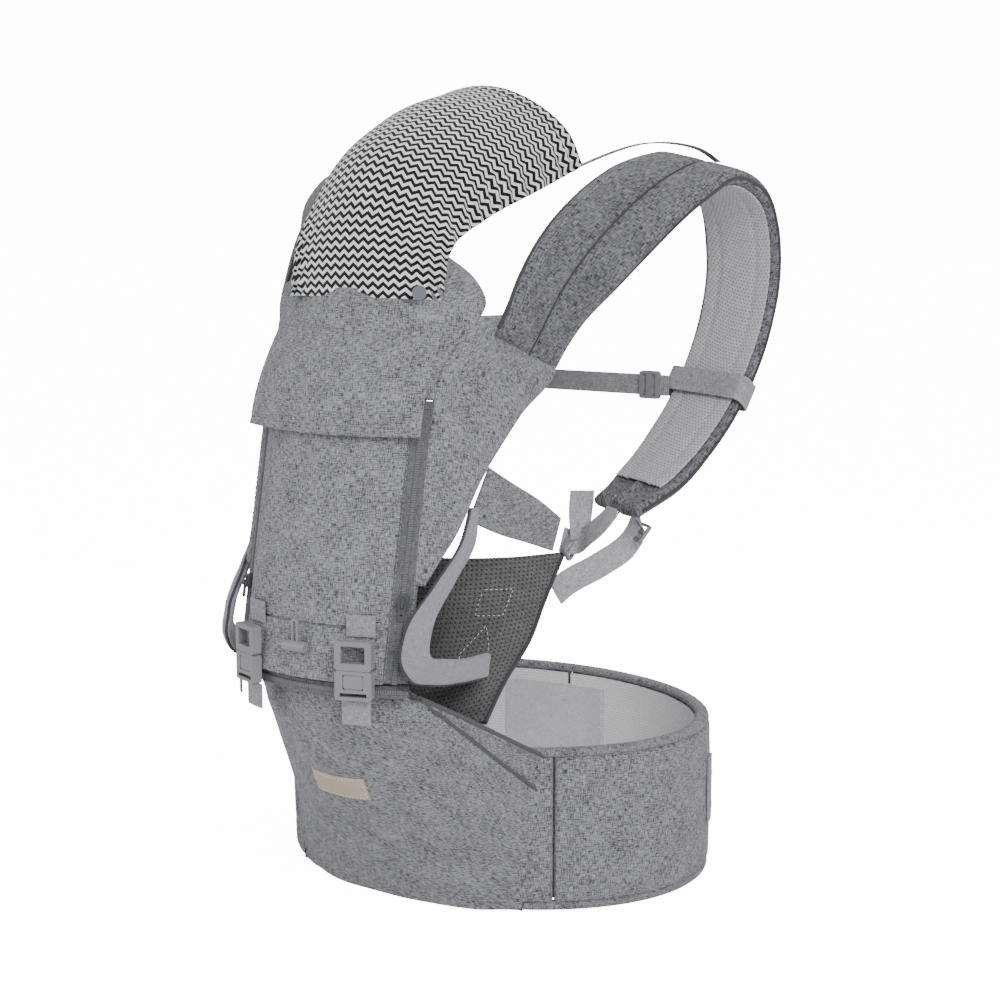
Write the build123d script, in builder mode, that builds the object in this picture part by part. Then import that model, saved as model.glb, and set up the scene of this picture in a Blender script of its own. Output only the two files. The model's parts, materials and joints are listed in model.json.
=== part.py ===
"""Hip-seat baby carrier, worn on the front: a waist belt loop with a wedge seat, a zipped body
panel, padded shoulder straps, a chest strap and a sun hood. Millimetres, +Z up; the panel's
outside faces -Y and the wearer stands inside the belt loop. Everything is drawn about the middle
of the belt loop and moved at the end, so that the origin is under the middle of the carrier."""

import os
from math import asin, cos, degrees, radians, sin, tan

from build123d import *

# ---------------------------------------------------------------- driving dimensions
gap = 0.4  # between pieces that lie side by side
play = 0.35  # around plugs, sliders and buttons

# waist belt: an oval loop, its bearings in degrees from the wearer's left
belt_half_width = 222.0
belt_half_depth = 181.0
belt_height = 157.0
belt_thick = 11.5
belt_lining_thick = 1.5
binding_low = 14.0
binding_high = 10.0
seam_bearing = -37.0  # where the wings are sewn to the seat
closure_bearing = 97.0  # where the left wing ends, just past the middle of the back
tongue_thick = 4.0
tongue_reach = 26.0
tongue_margin = 22.0

# hip seat
seat_edge = 283.0  # the top plane passes this far in front of the belt's middle...
seat_top = 240.0  # ...at this height, and falls towards the wearer
seat_slope = 31.0
cover_thick = 2.0
mat_thick = 2.5
patch_width, patch_height, patch_thick = 62.0, 25.0, 1.6
patch_z = 122.0

# body panel, curved about an upright line behind it
panel_radius = 169.0
panel_thick = 9.0
panel_lining_thick = 2.5
panel_foot = 235.0
zip_x = 90.0
zip_foot = (-272.0, 262.0)  # Y and Z of the side zips' lower end
zip_head = (-232.0, 482.0)  # and of their upper end
tape_half = 10.5
tape_thick = 1.2
coil_width, coil_height = 5.6, 1.8
side_slider_z = 307.0
side_puller = 16.0  # short enough to swing past the leg band
wing_thick = 6.0
flap_half_turn = 34.0
flap_top, flap_bottom = 541.0, 450.0
flap_thick = 3.5
hood_thick = 2.0

# waist zip, bent about its own upright line
waist_zip_z = 228.0
waist_zip_front = -297.5
waist_zip_half_turn = 36.0
waist_slider_turn = -34.0

# straps, webbing and buckles
strap_thick = 15.0
strap_lining_thick = 3.0
webbing_thick = 1.6
belt_webbing = 40.0
chest_webbing = 20.0
chest_y, chest_z = 54.5, 478.0
chest_buckle_x = -60.0
clip_width, clip_height, clip_thick = 34.0, 26.0, 9.0
clip_x, clip_z = 60.0, 249.0
buckle_thick = 9.0

os.makedirs("parts", exist_ok=True)
finished = {}


def keep(name, *parts):
    """Hold a finished piece, of one or more solids, for export."""
    with BuildPart() as piece:
        for part in parts:
            add(part)
    finished[name] = piece.part


def other_side(part):
    """The same piece on the wearer's right."""
    return mirror(part, about=Plane.YZ)


def both_sides(name, part):
    """Keep a piece of the wearer's left, and its twin on the right."""
    keep(f"{name}_left", part)
    keep(f"{name}_right", other_side(part))


def pairs(name, *parts):
    """Keep several pieces of the wearer's left and their twins together."""
    keep(name, *parts, *[other_side(part) for part in parts])


# ---------------------------------------------------------------- waist belt
def belt_band(low, high, inset, thick, start, end):
    """A length of the belt loop between two bearings, set in from the outside."""
    reach = 3 * belt_half_width
    steps = [radians(start + (end - start) * i / 8) for i in range(9)]
    rim = [(reach * cos(b), reach * sin(b)) for b in steps]
    half_x, half_y = belt_half_width - inset, belt_half_depth - inset
    with BuildPart() as band:
        with BuildSketch(Plane.XY.offset(low)):
            Ellipse(half_x, half_y)
            Ellipse(half_x - thick, half_y - thick, mode=Mode.SUBTRACT)
            with BuildLine():
                Polyline((0, 0), *rim, close=True)
            make_face(mode=Mode.INTERSECT)
        extrude(amount=high - low)
    return band.part


def full_band(low, high, inset, thick):
    """A closed ring of the belt, open only at the closure's slit."""
    return belt_band(low, high, inset, thick, closure_bearing + 0.2, closure_bearing + 359.8)


body_low, body_high = binding_low + 0.01, belt_height - binding_high - 0.01
front_start, front_end = 180 - seam_bearing, 360 + seam_bearing
keep("belt_wing_left", belt_band(body_low, body_high, 0, belt_thick, seam_bearing, closure_bearing - 0.2))
keep("belt_wing_right", belt_band(body_low, body_high, 0, belt_thick, closure_bearing + 0.2, front_start))
keep("belt_front_panel", belt_band(body_low, body_high, 0, belt_thick, front_start + 0.2, front_end - 0.2))
keep(
    "belt_binding",
    full_band(0, binding_low, 0, belt_thick + belt_lining_thick),
    full_band(belt_height - binding_high, belt_height, 0, belt_thick + belt_lining_thick),
)
tongue_start, tongue_end = closure_bearing - tongue_reach / 2, closure_bearing + tongue_reach
keep(
    "belt_lining",
    belt_band(body_low, body_high, belt_thick + 0.1, belt_lining_thick, tongue_end + 1, 359 + tongue_start),
)
keep(
    "closure_tongue",
    belt_band(
        tongue_margin,
        belt_height - tongue_margin,
        belt_thick + gap,
        tongue_thick,
        tongue_start,
        tongue_end,
    ),
)

# webbing round the back of the belt, its end tabs and the buckle
webbing_low = belt_height / 2 - belt_webbing / 2
webbing_high = belt_height / 2 + belt_webbing / 2
outside = -webbing_thick - gap
webbing_left = belt_band(webbing_low, webbing_high, outside, webbing_thick, 15, 88)
pairs("belt_webbings", webbing_left)
tab_left = belt_band(52, 117, outside - 2.4, 2, 13, 19)
pairs("belt_tabs", tab_left)

buckle_y = belt_half_depth + webbing_thick + 2 * gap + 0.5
buckle_z = belt_height / 2


def buckle(width, length, thick):
    """A side-release buckle lying along X: the plug half on +X, the socket half on -X."""
    wall = 2.0
    with BuildPart() as socket:
        Box(length, width, thick, align=(Align.MAX, Align.CENTER, Align.MIN))
        fillet(socket.edges().filter_by(Axis.Z), 2.5)
        with Locations((0, 0, wall)):
            mouth = (Align.MAX, Align.CENTER, Align.MIN)
            Box(length * 0.6, width - 2 * wall, thick - 2 * wall, align=mouth, mode=Mode.SUBTRACT)
        with Locations((-length * 0.82, 0, 0)):
            Box(4, width - 8, 3 * thick, mode=Mode.SUBTRACT)
        for side in (-1, 1):
            with Locations((-length * 0.34, side * width / 2, thick / 2)):
                Box(length * 0.28, 3 * wall, 3 * thick, mode=Mode.SUBTRACT)
    with BuildPart() as plug:
        with Locations((play, 0, 0)):
            low = (Align.MIN, Align.CENTER, Align.MIN)
            Box(length * 0.42, width, thick, align=low)
        fillet(plug.edges().filter_by(Axis.Z), 2.5)
        with Locations((length * 0.3, 0, 0)):
            Box(4, width - 8, 3 * thick, mode=Mode.SUBTRACT)
        prong = thick - 2 * wall - 2 * play
        with Locations((play, 0, wall + play)):
            tip = (Align.MAX, Align.CENTER, Align.MIN)
            Box(length * 0.5, 5, prong, align=tip)
            with Locations((0, width / 2 - 6, 0), (0, 6 - width / 2, 0)):
                Box(length * 0.5, 4, prong, align=tip)
    return socket.part, plug.part


back_frame = Plane((-6, buckle_y, buckle_z), x_dir=(-1, 0, 0), z_dir=(0, 1, 0))
socket, plug = buckle(50.0, 46.0, buckle_thick)
keep("belt_buckle_socket", back_frame.location * socket)
keep("belt_buckle_plug", back_frame.location * plug)

# ---------------------------------------------------------------- hip seat
# height, reach of the front, half width and reach of the shoulder, and the side seam's X and Y
seat_levels = (
    (0.0, 183.0, 92.0, 168.0, 132.0, -146.0),
    (60.0, 212.0, 90.0, 190.0, 146.0, -133.0),
    (125.0, 250.0, 88.0, 217.0, 153.0, -125.0),
    (190.0, 282.0, 88.0, 246.0, 152.0, -122.0),
    (252.0, 291.0, 88.0, 260.0, 150.0, -122.0),
)
fall = radians(seat_slope)
slope_normal = (0, sin(fall), cos(fall))


def seat_wedge(inset):
    """The seat's outer form, set in all round."""
    with BuildPart() as wedge:
        for z, front, half, shoulder, seam_x, seam_y in seat_levels:
            level = min(max(z, inset), 252.0 - inset)
            with BuildSketch(Plane.XY.offset(level)):
                with BuildLine():
                    rim = Spline(
                        (-seam_x + inset, seam_y),
                        (-half + inset * 0.7, -shoulder + inset * 0.7),
                        (0, -front + inset),
                        (half - inset * 0.7, -shoulder + inset * 0.7),
                        (seam_x - inset, seam_y),
                    )
                    Line(rim @ 1, rim @ 0)
                make_face()
        loft()
        with BuildSketch():
            Ellipse(belt_half_width + gap + inset, belt_half_depth + gap + inset)
        extrude(amount=300, mode=Mode.SUBTRACT)
        top = Plane((0, -seat_edge, seat_top - inset / cos(fall)), z_dir=slope_normal)
        split(bisect_by=top, keep=Keep.BOTTOM)
    return wedge.part


with BuildPart() as seat_cover:
    add(seat_wedge(0))
    add(seat_wedge(cover_thick), mode=Mode.SUBTRACT)
keep("seat_cover", seat_cover.part)
keep("seat_core", seat_wedge(cover_thick + gap))

mat_y = -232.0
mat_z = seat_top - (mat_y + seat_edge) * tan(fall) + gap / cos(fall)
with BuildPart() as seat_mat:
    with BuildSketch(Plane((0, mat_y, mat_z), x_dir=(1, 0, 0), z_dir=slope_normal)):
        with BuildLine():
            Polyline((-72, -44), (72, -44), (112, 28), (102, 40), (-102, 40), (-112, 28), close=True)
        make_face()
        fillet(vertices(), 9)
    extrude(amount=mat_thick)
keep("seat_mat", seat_mat.part)

with BuildPart() as label_patch:
    add(seat_wedge(-gap - patch_thick))
    add(seat_wedge(-gap), mode=Mode.SUBTRACT)
    with BuildSketch(Plane.XZ.offset(200)):
        with Locations((0, patch_z)):
            RectangleRounded(patch_width, patch_height, 2)
    extrude(amount=100, mode=Mode.INTERSECT)
keep("label_patch", label_patch.part)


# ---------------------------------------------------------------- body panel
zip_turn = degrees(asin(zip_x / panel_radius))
tape_turn = degrees(tape_half / panel_radius)
lean = (zip_head[0] - zip_foot[0]) / (zip_head[1] - zip_foot[1])


def panel_y(z):
    """The Y of the panel's outer face at mid-width."""
    sag = panel_radius * (1 - cos(radians(zip_turn)))
    return zip_foot[0] - sag + lean * (z - zip_foot[1])


def on_arc(y, stand, turn):
    """A point this far outside the panel's face, this many degrees round from the front."""
    a = radians(turn)
    reach = panel_radius + stand
    return reach * sin(a), y + panel_radius - reach * cos(a)


def fan(y, stands, half_turn):
    """Seven points of such an arc, with the stand-off at the ends, further in, and in the middle."""
    turns = [half_turn * i / 3 for i in range(-3, 4)]
    depths = [stands[min(3 - abs(i), 2)] for i in range(-3, 4)]
    return [on_arc(y, depth, turn) for depth, turn in zip(depths, turns)]


def inward(points, thick):
    """The same run of points moved to the left of its direction of travel."""
    moved = []
    for i, (x, y) in enumerate(points):
        ax, ay = points[max(i - 1, 0)]
        bx, by = points[min(i + 1, len(points) - 1)]
        size = ((bx - ax) ** 2 + (by - ay) ** 2) ** 0.5
        moved.append((x - (by - ay) / size * thick, y + (bx - ax) / size * thick))
    return moved


def skin(levels, ruled=False):
    """A sheet through bands drawn at rising heights; each band has outer and inner points."""
    with BuildPart() as sheet:
        for z, outer, inner in levels:
            with BuildSketch(Plane.XY.offset(z)):
                with BuildLine():
                    out_line = Spline(*outer)
                    in_line = Spline(*inner)
                    Line(out_line @ 0, in_line @ 0)
                    Line(out_line @ 1, in_line @ 1)
                make_face()
        loft(ruled=ruled)
    return sheet.part


def flat(depth):
    """The same stand-off all across."""
    return depth, depth, depth


def panel_sheet(low, high, stand, thick, half_turn):
    """A sheet that follows the panel's face."""
    rows = []
    for z in (low, high):
        outside_row = fan(panel_y(z), flat(stand), half_turn)
        inside_row = fan(panel_y(z), flat(stand - thick), half_turn)
        rows.append((z, outside_row, inside_row))
    return skin(rows, ruled=True)


panel_half_turn = zip_turn - tape_turn - 0.15
keep("front_panel", panel_sheet(panel_foot, zip_head[1], 0, panel_thick, panel_half_turn))
keep(
    "panel_lining",
    panel_sheet(panel_foot + 12, zip_head[1], -panel_thick - gap, panel_lining_thick, panel_half_turn),
)
pocket_rows = []
for z, depths in ((284, (1.6, 2.0, 2.2)), (370, (2.2, 5.0, 6.0)), (478, (2.0, 2.6, 3.0))):
    outer = fan(panel_y(z), tuple(gap + d for d in depths), panel_half_turn)
    pocket_rows.append((z, outer, fan(panel_y(z), flat(gap), panel_half_turn)))
keep("pocket", skin(pocket_rows))
keep("hem_band", panel_sheet(panel_foot, 282, gap + 1.2, 1.2, panel_half_turn))

flap_rows = []
for z, y in ((flap_bottom, -269.4), (482, -263.2), (512, -252.2), (flap_top, -237.8)):
    flap_rows.append((z, fan(y, flat(flap_thick), flap_half_turn), fan(y, flat(0), flap_half_turn)))
keep("pocket_flap", skin(flap_rows))

# head support: Y at mid-width, then the side edge's X and Y, rising
head_rows = []
for z, y, edge_x, edge_y in (
    (482.4, -258.0, 97.6, -227.0),
    (512, -249.0, 104.0, -211.0),
    (541, -236.0, 112.0, -194.0),
    (566, -225.0, 120.0, -180.0),
    (590, -217.5, 104.0, -179.0),
    (606, -213.0, 84.0, -187.0),
):
    left = [on_arc(y, 0, turn) for turn in (8, 16, 24)]
    right = [(-px, py) for px, py in reversed(left)]
    outer = [(-edge_x, edge_y), *right, (0, y), *left, (edge_x, edge_y)]
    head_rows.append((z, outer, inward(outer, 6)))
keep("head_support", skin(head_rows))

# side wings, from the zip back to the edge that faces the wearer
wing_rows = []
for z, front, back, crown in (
    (322, None, (104.5, -251.0), 0.2),
    (340, None, (109.5, -238.5), 0.6),
    (359, None, (114.5, -223.5), 1.0),
    (409, None, (122.0, -193.0), 2.0),
    (463, None, (130.0, -145.0), 3.0),
    (505, (105.4, -206.0), (135.0, -97.0), 3.0),
    (535, (113.5, -188.3), (134.0, -140.0), 1.5),
    (554, (121.3, -176.0), (132.5, -158.0), 0.5),
):
    front = front or on_arc(panel_y(z), 0, zip_turn + tape_turn + 0.25)
    run = []
    for share in (0, 0.33, 0.67, 1):
        bulge = crown * 4 * share * (1 - share)
        x = front[0] + (back[0] - front[0]) * share + bulge
        run.append((x, front[1] + (back[1] - front[1]) * share - bulge * 0.4))
    wing_rows.append((z, run, inward(run, wing_thick)))
both_sides("side_wing", skin(wing_rows))

# the mesh-faced panel on the wearer's side: points from the middle to the free edge, rising
inner_rows = []
mesh_rows = []
for z, half in (
    (184.5, ((0, -187.5), (60, -185.5), (96, -180.0), (113, -175.0))),
    (218, ((0, -175), (60, -173), (96, -163), (115, -147))),
    (250, ((0, -169), (60, -162), (98, -140), (119, -115))),
    (285, ((0, -167), (60, -156), (98, -127), (120, -91))),
    (327, ((0, -165), (60, -150), (100, -108), (121, -60))),
):
    face = [(-x, y) for x, y in reversed(half[1:])] + list(half)
    mesh_rows.append((z, face, inward(face, 2.2)))
    inner_rows.append((z, inward(face, 2.2 + gap), inward(face, 2.2 + gap + 5.0)))
keep("inner_mesh", skin(mesh_rows))
keep("inner_panel", skin(inner_rows))


# ---------------------------------------------------------------- zips
def side_zip_frame(z):
    """On the left zip's line at this height: X across, Y up along the zip, Z out of the face."""
    face_x, face_y = on_arc(panel_y(z), 0, zip_turn)
    a = radians(zip_turn)
    up = Vector(0, lean, 1).normalized()
    across = Vector(cos(a), sin(a), 0)
    across = (across - up * across.dot(up)).normalized()
    return Plane((face_x, face_y, z), x_dir=across, z_dir=across.cross(up))


zip_length = (zip_head[1] - zip_foot[1] - 2) * (1 + lean**2) ** 0.5
foot_frame = side_zip_frame(zip_foot[1] + 1)
with BuildPart() as side_zip:
    with BuildSketch(foot_frame.offset(-tape_thick)):
        Rectangle(2 * tape_half - 3, zip_length, align=(Align.CENTER, Align.MIN))
    extrude(amount=tape_thick)
    with BuildSketch(foot_frame):
        Rectangle(coil_width, zip_length, align=(Align.CENTER, Align.MIN))
    extrude(amount=coil_height)
pairs("side_zips", side_zip.part)


def slider_body(length, channel_turn):
    """A zip slider: a saddle over the coil, and an upright bridge that holds the puller."""
    low = (Align.CENTER, Align.CENTER, Align.MIN)
    with BuildPart() as saddle:
        with Locations(Location((0, 0, play), (0, 0, channel_turn))):
            Box(coil_width + 4, length, coil_height + 2.4, align=low)
        fillet(saddle.edges().filter_by(Axis.Z), 1.8)
        with Locations(Location((0, 0, 0), (0, 0, channel_turn))):
            Box(coil_width + 2 * play, 2 * length, coil_height + 2 * play, align=low, mode=Mode.SUBTRACT)
        with Locations((0, 0, coil_height + play + 2.3)):
            Box(2.4, 8.6, 3.4, align=low)
        with Locations((0, 0, coil_height + play + 2.4)):
            Box(9, 3.2, 2.0, align=low, mode=Mode.SUBTRACT)
    return saddle.part


def puller_body(length):
    """A zip puller hanging down from the slider's bridge, its pin at the origin."""
    with BuildPart() as tag:
        with Locations((0, 0.65 - length / 2, 0)):
            Box(6.5, length, 1.2)
        fillet(tag.edges().filter_by(Axis.Z), 2)
        with Locations((0, -2.7, 0)):
            Box(3.4, 6.4, 5, mode=Mode.SUBTRACT)
        with Locations((0, -length + 5, 0)):
            Cylinder(1.2, 5, mode=Mode.SUBTRACT)
        with Locations((0, 0, 0)):
            Box(4.4, 1.1, 1.1)
    return tag.part


slider_frame = side_zip_frame(side_slider_z)
both_sides("side_zip_slider", slider_frame.location * slider_body(13, 0))
pin_height = coil_height + play + 3.4
pin_frame = slider_frame.offset(pin_height)
both_sides("side_zip_puller", pin_frame.location * puller_body(side_puller))

# waist zip: a hoop between the seat and the panel
waist_centre = waist_zip_front + panel_radius - 4


def hoop(z, height, stand, thick, half_turn):
    """A length of an upright hoop about the waist zip's line."""
    radius = panel_radius - 4 + stand
    with BuildPart() as ring:
        with BuildSketch(Plane.XY.offset(z)):
            with BuildLine():
                outer = CenterArc((0, waist_centre), radius, 270 - half_turn, 2 * half_turn)
                inner = CenterArc((0, waist_centre), radius - thick, 270 - half_turn, 2 * half_turn)
                Line(outer @ 0, inner @ 0)
                Line(outer @ 1, inner @ 1)
            make_face()
        extrude(amount=height)
    return ring.part


with BuildPart() as waist_zip:
    add(hoop(waist_zip_z - 6, 12, 0, tape_thick, waist_zip_half_turn))
    add(hoop(waist_zip_z - coil_width / 2, coil_width, coil_height, coil_height, waist_zip_half_turn))
keep("waist_zip", waist_zip.part)


def waist_frame(turn, z=waist_zip_z, stand=0.0):
    """On the waist zip's face, this far round: X along the zip, Y up, Z out of the face."""
    a = radians(turn)
    reach = panel_radius - 4 + stand
    across = (cos(a), sin(a), 0)
    return Plane((reach * sin(a), waist_centre - reach * cos(a), z), x_dir=across, z_dir=(sin(a), -cos(a), 0))


waist_slider = waist_frame(waist_slider_turn, stand=0.25)
keep("waist_zip_slider", waist_slider.location * slider_body(11, 90))
waist_pin = waist_frame(waist_slider_turn, stand=0.25 + pin_height)
keep("waist_zip_puller", waist_pin.location * puller_body(26))

# ---------------------------------------------------------------- front clips, tabs and toggle
clip_turn = degrees(asin(clip_x / panel_radius))
clip_reach = panel_radius + gap + 1.2 + 0.8
face_x, face_y = on_arc(panel_y(panel_foot), clip_reach - panel_radius, clip_turn)
turn = radians(clip_turn)
clip_frame = Plane(
    (face_x, face_y, clip_z),
    x_dir=(cos(turn), sin(turn), 0),
    z_dir=(sin(turn), -cos(turn), 0),
)
centred = (Align.CENTER, Align.MIN, Align.MIN)
hung = (Align.CENTER, Align.MAX, Align.MIN)
wall = 2.0
with BuildPart() as clip_socket:
    Box(clip_width, clip_height, clip_thick, align=hung)
    fillet(clip_socket.edges().filter_by(Axis.Z), 3)
    with Locations((0, 0, wall)):
        Box(clip_width - 12, clip_height * 0.66, clip_thick - 2 * wall, align=hung, mode=Mode.SUBTRACT)
    with Locations((0, -3.4, clip_thick / 2)):
        Box(19, 13, clip_thick, align=hung, mode=Mode.SUBTRACT)
    with Locations((0, -clip_height + 3, 0)):
        Box(
            clip_width - 9,
            3.4,
            3 * clip_thick,
            align=(Align.CENTER, Align.MIN, Align.CENTER),
            mode=Mode.SUBTRACT,
        )
with BuildPart() as clip_button:
    with Locations((0, -3.4 - play, clip_thick - wall - 1.4)):
        Box(19 - 2 * play, 13 - 2 * play, 2.8, align=hung)
    fillet(clip_button.edges().filter_by(Axis.Z), 2.5)
with BuildPart() as clip_plug:
    with Locations((0, play, 0)):
        Box(clip_width, clip_height, clip_thick, align=centred)
    fillet(clip_plug.edges().filter_by(Axis.Z), 3)
    with Locations((0, play + 6.5, 0)):
        Box(
            clip_width - 12,
            clip_height - 11,
            3 * clip_thick,
            align=(Align.CENTER, Align.MIN, Align.CENTER),
            mode=Mode.SUBTRACT,
        )
    with Locations((0, play, wall + play)):
        Box(clip_width - 14, clip_height * 0.6, 1.4, align=hung)
for name, part in (("clip_socket", clip_socket), ("clip_button", clip_button), ("clip_plug", clip_plug)):
    both_sides(name, clip_frame.location * part.part)


def clip_tab(low, high, reach):
    """A cloth tab behind a clip, following the hoop of the panel."""
    half = degrees(13 / panel_radius)
    with BuildPart() as tab:
        with BuildSketch(Plane.XY.offset(low)):
            with BuildLine():
                a = CenterArc((0, reach[1]), reach[0], 270 + clip_turn - half, 2 * half)
                b = CenterArc((0, reach[1]), reach[0] - 2, 270 + clip_turn - half, 2 * half)
                Line(a @ 0, b @ 0)
                Line(a @ 1, b @ 1)
            make_face()
        extrude(amount=high - low)
    return tab.part


upper_tab = clip_tab(277, 296, (panel_radius + 4.2, panel_y(277) + panel_radius))
lower_tab = clip_tab(199, 221, (panel_radius + 2, waist_centre - 2))
pairs("clip_tabs", upper_tab, lower_tab)

toggle_y = panel_y(270) - 1.6 - gap
with BuildPart() as toggle:
    with Locations(Location((0, toggle_y - 6.5, 264), (0, 90, 0))):
        Cylinder(5, 26)
    fillet(toggle.edges().filter_by(GeomType.CIRCLE), 1.5)
    with BuildSketch(Plane.XZ.offset(-toggle_y + 5)):
        with Locations((0, 276)):
            SlotOverall(26, 8, rotation=90)
            SlotOverall(21, 3.4, rotation=90, mode=Mode.SUBTRACT)
    extrude(amount=2.4)
keep("toggle", toggle.part)


# ---------------------------------------------------------------- soft bands along a path
def curve_through(values, share):
    """The number this share of the way from the second of four to the third, on a smooth curve."""
    a, b, c, d = values
    bend = 2 * a - 5 * b + 4 * c - d
    return b + share * (c - a + share * (bend + share * (3 * (b - c) + d - a))) / 2


def finer(stations, parts):
    """The same band with this many steps in each span between its stations."""
    rows = [(*centre, *across, width) for centre, across, width in stations]
    rows = [rows[0], *rows, rows[-1]]
    steps = []
    for i in range(len(stations) - 1):
        for k in range(parts if i < len(stations) - 2 else parts + 1):
            row = [curve_through(values, k / parts) for values in zip(*rows[i : i + 4])]
            steps.append((tuple(row[:3]), tuple(row[3:6]), row[6]))
    return steps


def section_frame(stations, i):
    """The plane across the band at one of its stations."""
    here = Vector(*stations[i][0])
    before = Vector(*stations[max(i - 1, 0)][0])
    after = Vector(*stations[min(i + 1, len(stations) - 1)][0])
    along = (after - before).normalized()
    side = Vector(*stations[i][1])
    side = (side - along * side.dot(along)).normalized()
    return Plane(here, x_dir=side, z_dir=along)


def ribbon(stations, thick, edge=None, depth=0.0, narrower=0.0):
    """A band through stations: centre, the direction across it, and its width there."""
    with BuildPart() as band:
        for i, (_, _, width) in enumerate(stations):
            with BuildSketch(section_frame(stations, i)):
                with Locations((0, depth)):
                    RectangleRounded(width - narrower, thick, edge or thick * 0.48)
        loft(ruled=True)
    return band.part


def between(p, q):
    """A station from the band's outer edge to its inner edge."""
    centre = tuple((a + b) / 2 for a, b in zip(p, q))
    across = tuple(b - a for a, b in zip(p, q))
    return centre, across, sum(c * c for c in across) ** 0.5


leg_stations = finer(
    (
        between((119, -206, 386), (121.5, -197, 386)),
        between((118, -218.5, 357), (122.5, -203.5, 355)),
        between((110, -248, 320), (121, -228, 325)),
        between((102, -280, 278), (118, -259, 285)),
        between((102, -283, 257), (118, -263, 266)),
        between((104, -272, 241), (117, -256, 259)),
        between((107, -250, 234), (115, -243, 256)),
        between((111, -214, 229), (116, -212, 251)),
        between((115, -176, 228), (118, -176, 250)),
    ),
    3,
)
leg_band = ribbon(leg_stations, 9)
pairs("leg_bands", leg_band)

tab_stations = finer(
    (
        ((110.6, -181, 395), (0, 0.55, 0.83), 54),
        ((116, -150, 379), (0, 0.50, 0.87), 50),
        ((118.5, -106, 361), (0, 0.42, 0.91), 42),
        ((120, -72, 345), (0, 0.42, 0.91), 33),
    ),
    2,
)
side_tab = ribbon(tab_stations, 4.5)
pairs("side_tabs", side_tab)

strap_stations = (
    ((135, -126, 541), (0, 0.84, -0.55), 92),
    ((147, -112, 574), (0.2, 0.75, -0.62), 88),
    ((172, -76, 624), (0.57, 0.40, -0.70), 84),
    ((197, -18, 668), (0.87, 0.12, -0.48), 82),
    ((208, 38, 683), (0.97, 0, -0.22), 80),
    ((211, 93, 656), (1, 0, -0.05), 80),
    ((207, 120, 600), (1, 0, 0), 80),
    ((202, 116, 540), (1, 0, 0), 80),
    ((196, 84, 478), (1, 0, 0), 80),
    ((190, 36, 428), (1, 0, 0), 78),
    ((181, -12, 392), (1, 0, 0), 72),
    ((171, -50, 372), (1, 0, 0), 56),
)
strap_steps = finer(strap_stations, 3)
both_sides("shoulder_strap", ribbon(strap_steps, strap_thick))
lining_depth = strap_thick / 2 + strap_lining_thick / 2 + gap
both_sides("strap_lining", ribbon(strap_steps[3:-1], strap_lining_thick, depth=lining_depth, narrower=12))



def link(points, across, width, thick=webbing_thick):
    """A strip of webbing through these points."""
    return ribbon(finer([(point, across, width) for point in points], 3), thick, 0.6)


tail_stations = (
    ((128.6, -47, 338), (0.1, 1, 0), 23),
    ((129.4, -46, 354), (0.5, 0.85, 0), 23),
    ((127.6, -42, 370), (0.8, 0.6, 0), 23),
    ((128.5, -41, 384), (0.8, 0.6, 0), 23),
)
tab_tail = ribbon(finer(tail_stations, 3), webbing_thick, 0.6)
upper_strip = link([(134.5, -51, 336), (148, -56, 347), (161, -56, 358)], (-0.4, 0.55, 0.73), 25)
pairs("upper_webbings", tab_tail, upper_strip)
lower_strip = link([(126, -62, 298), (148, -42, 314), (169, -20, 336)], (-0.35, -0.35, 0.87), 25)
pairs("lower_webbings", lower_strip)


def ladder_lock(centre, along, across):
    """An adjuster plate with two slots either side of a bar."""
    frame = Plane(centre, x_dir=across, z_dir=Vector(*across).cross(Vector(*along)))
    with BuildPart() as plate:
        Box(32, 19, 3.4)
        fillet(plate.edges().filter_by(Axis.Z), 3)
        with Locations((0, 5, 0), (0, -3.4, 0)):
            Box(26, 4.2, 10, mode=Mode.SUBTRACT)
        with Locations((0, 1, 1.6)):
            Box(28, 3, 2)
    return frame.location * plate.part


pairs("upper_ladder_locks", ladder_lock((124.8, -51.5, 334.5), (0, 0.62, -0.78), (0, 0.78, 0.62)))
pairs("lower_ladder_locks", ladder_lock((175.5, -14, 345), (0.4, 0.45, 0.8), (0.8, -0.6, 0)))

# ---------------------------------------------------------------- chest strap
loop_centre = Vector(195.4, 81, 474)
loop_along = Vector(-0.09, -0.54, -0.84)
loop_plane = Plane(loop_centre, x_dir=(1, 0, 0), z_dir=loop_along)
with BuildPart() as chest_loop:
    with BuildSketch(loop_plane.offset(-12.5)):
        with Locations((0, 2.9)):
            RectangleRounded(88, 28, 8)
            RectangleRounded(84.8, 24.8, 6.4, mode=Mode.SUBTRACT)
    extrude(amount=25)
pairs("chest_loops", chest_loop.part)


def cross_strip(start, end):
    """Chest webbing between two places across the wearer."""
    with BuildPart() as strip:
        with Locations(((start + end) / 2, chest_y, chest_z)):
            Box(end - start, webbing_thick, chest_webbing)
    return strip.part


keep("chest_webbing_left", cross_strip(chest_buckle_x + 15, 164))
keep("chest_webbing_right", cross_strip(-164, chest_buckle_x - 34.5))
chest_frame = Plane((chest_buckle_x, chest_y + 4, chest_z), x_dir=(1, 0, 0), z_dir=(0, -1, 0))
socket, plug = buckle(25.0, 34.0, 8.0)
keep("chest_buckle_socket", chest_frame.location * socket)
keep("chest_buckle_plug", chest_frame.location * plug)
with BuildPart() as chest_slider:
    with Locations((143, chest_y, chest_z)):
        Box(22, 5.4, 27)
    fillet(chest_slider.edges().filter_by(Axis.Y), 3)
    with Locations((143, chest_y, chest_z)):
        Box(30, webbing_thick + 2 * play, chest_webbing + 2 * play, mode=Mode.SUBTRACT)
    with Locations((138, chest_y - 4, chest_z), (148, chest_y - 4, chest_z)):
        Box(4.4, 6.6, chest_webbing + 2 * play, mode=Mode.SUBTRACT)
keep("chest_slider", chest_slider.part)

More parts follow.
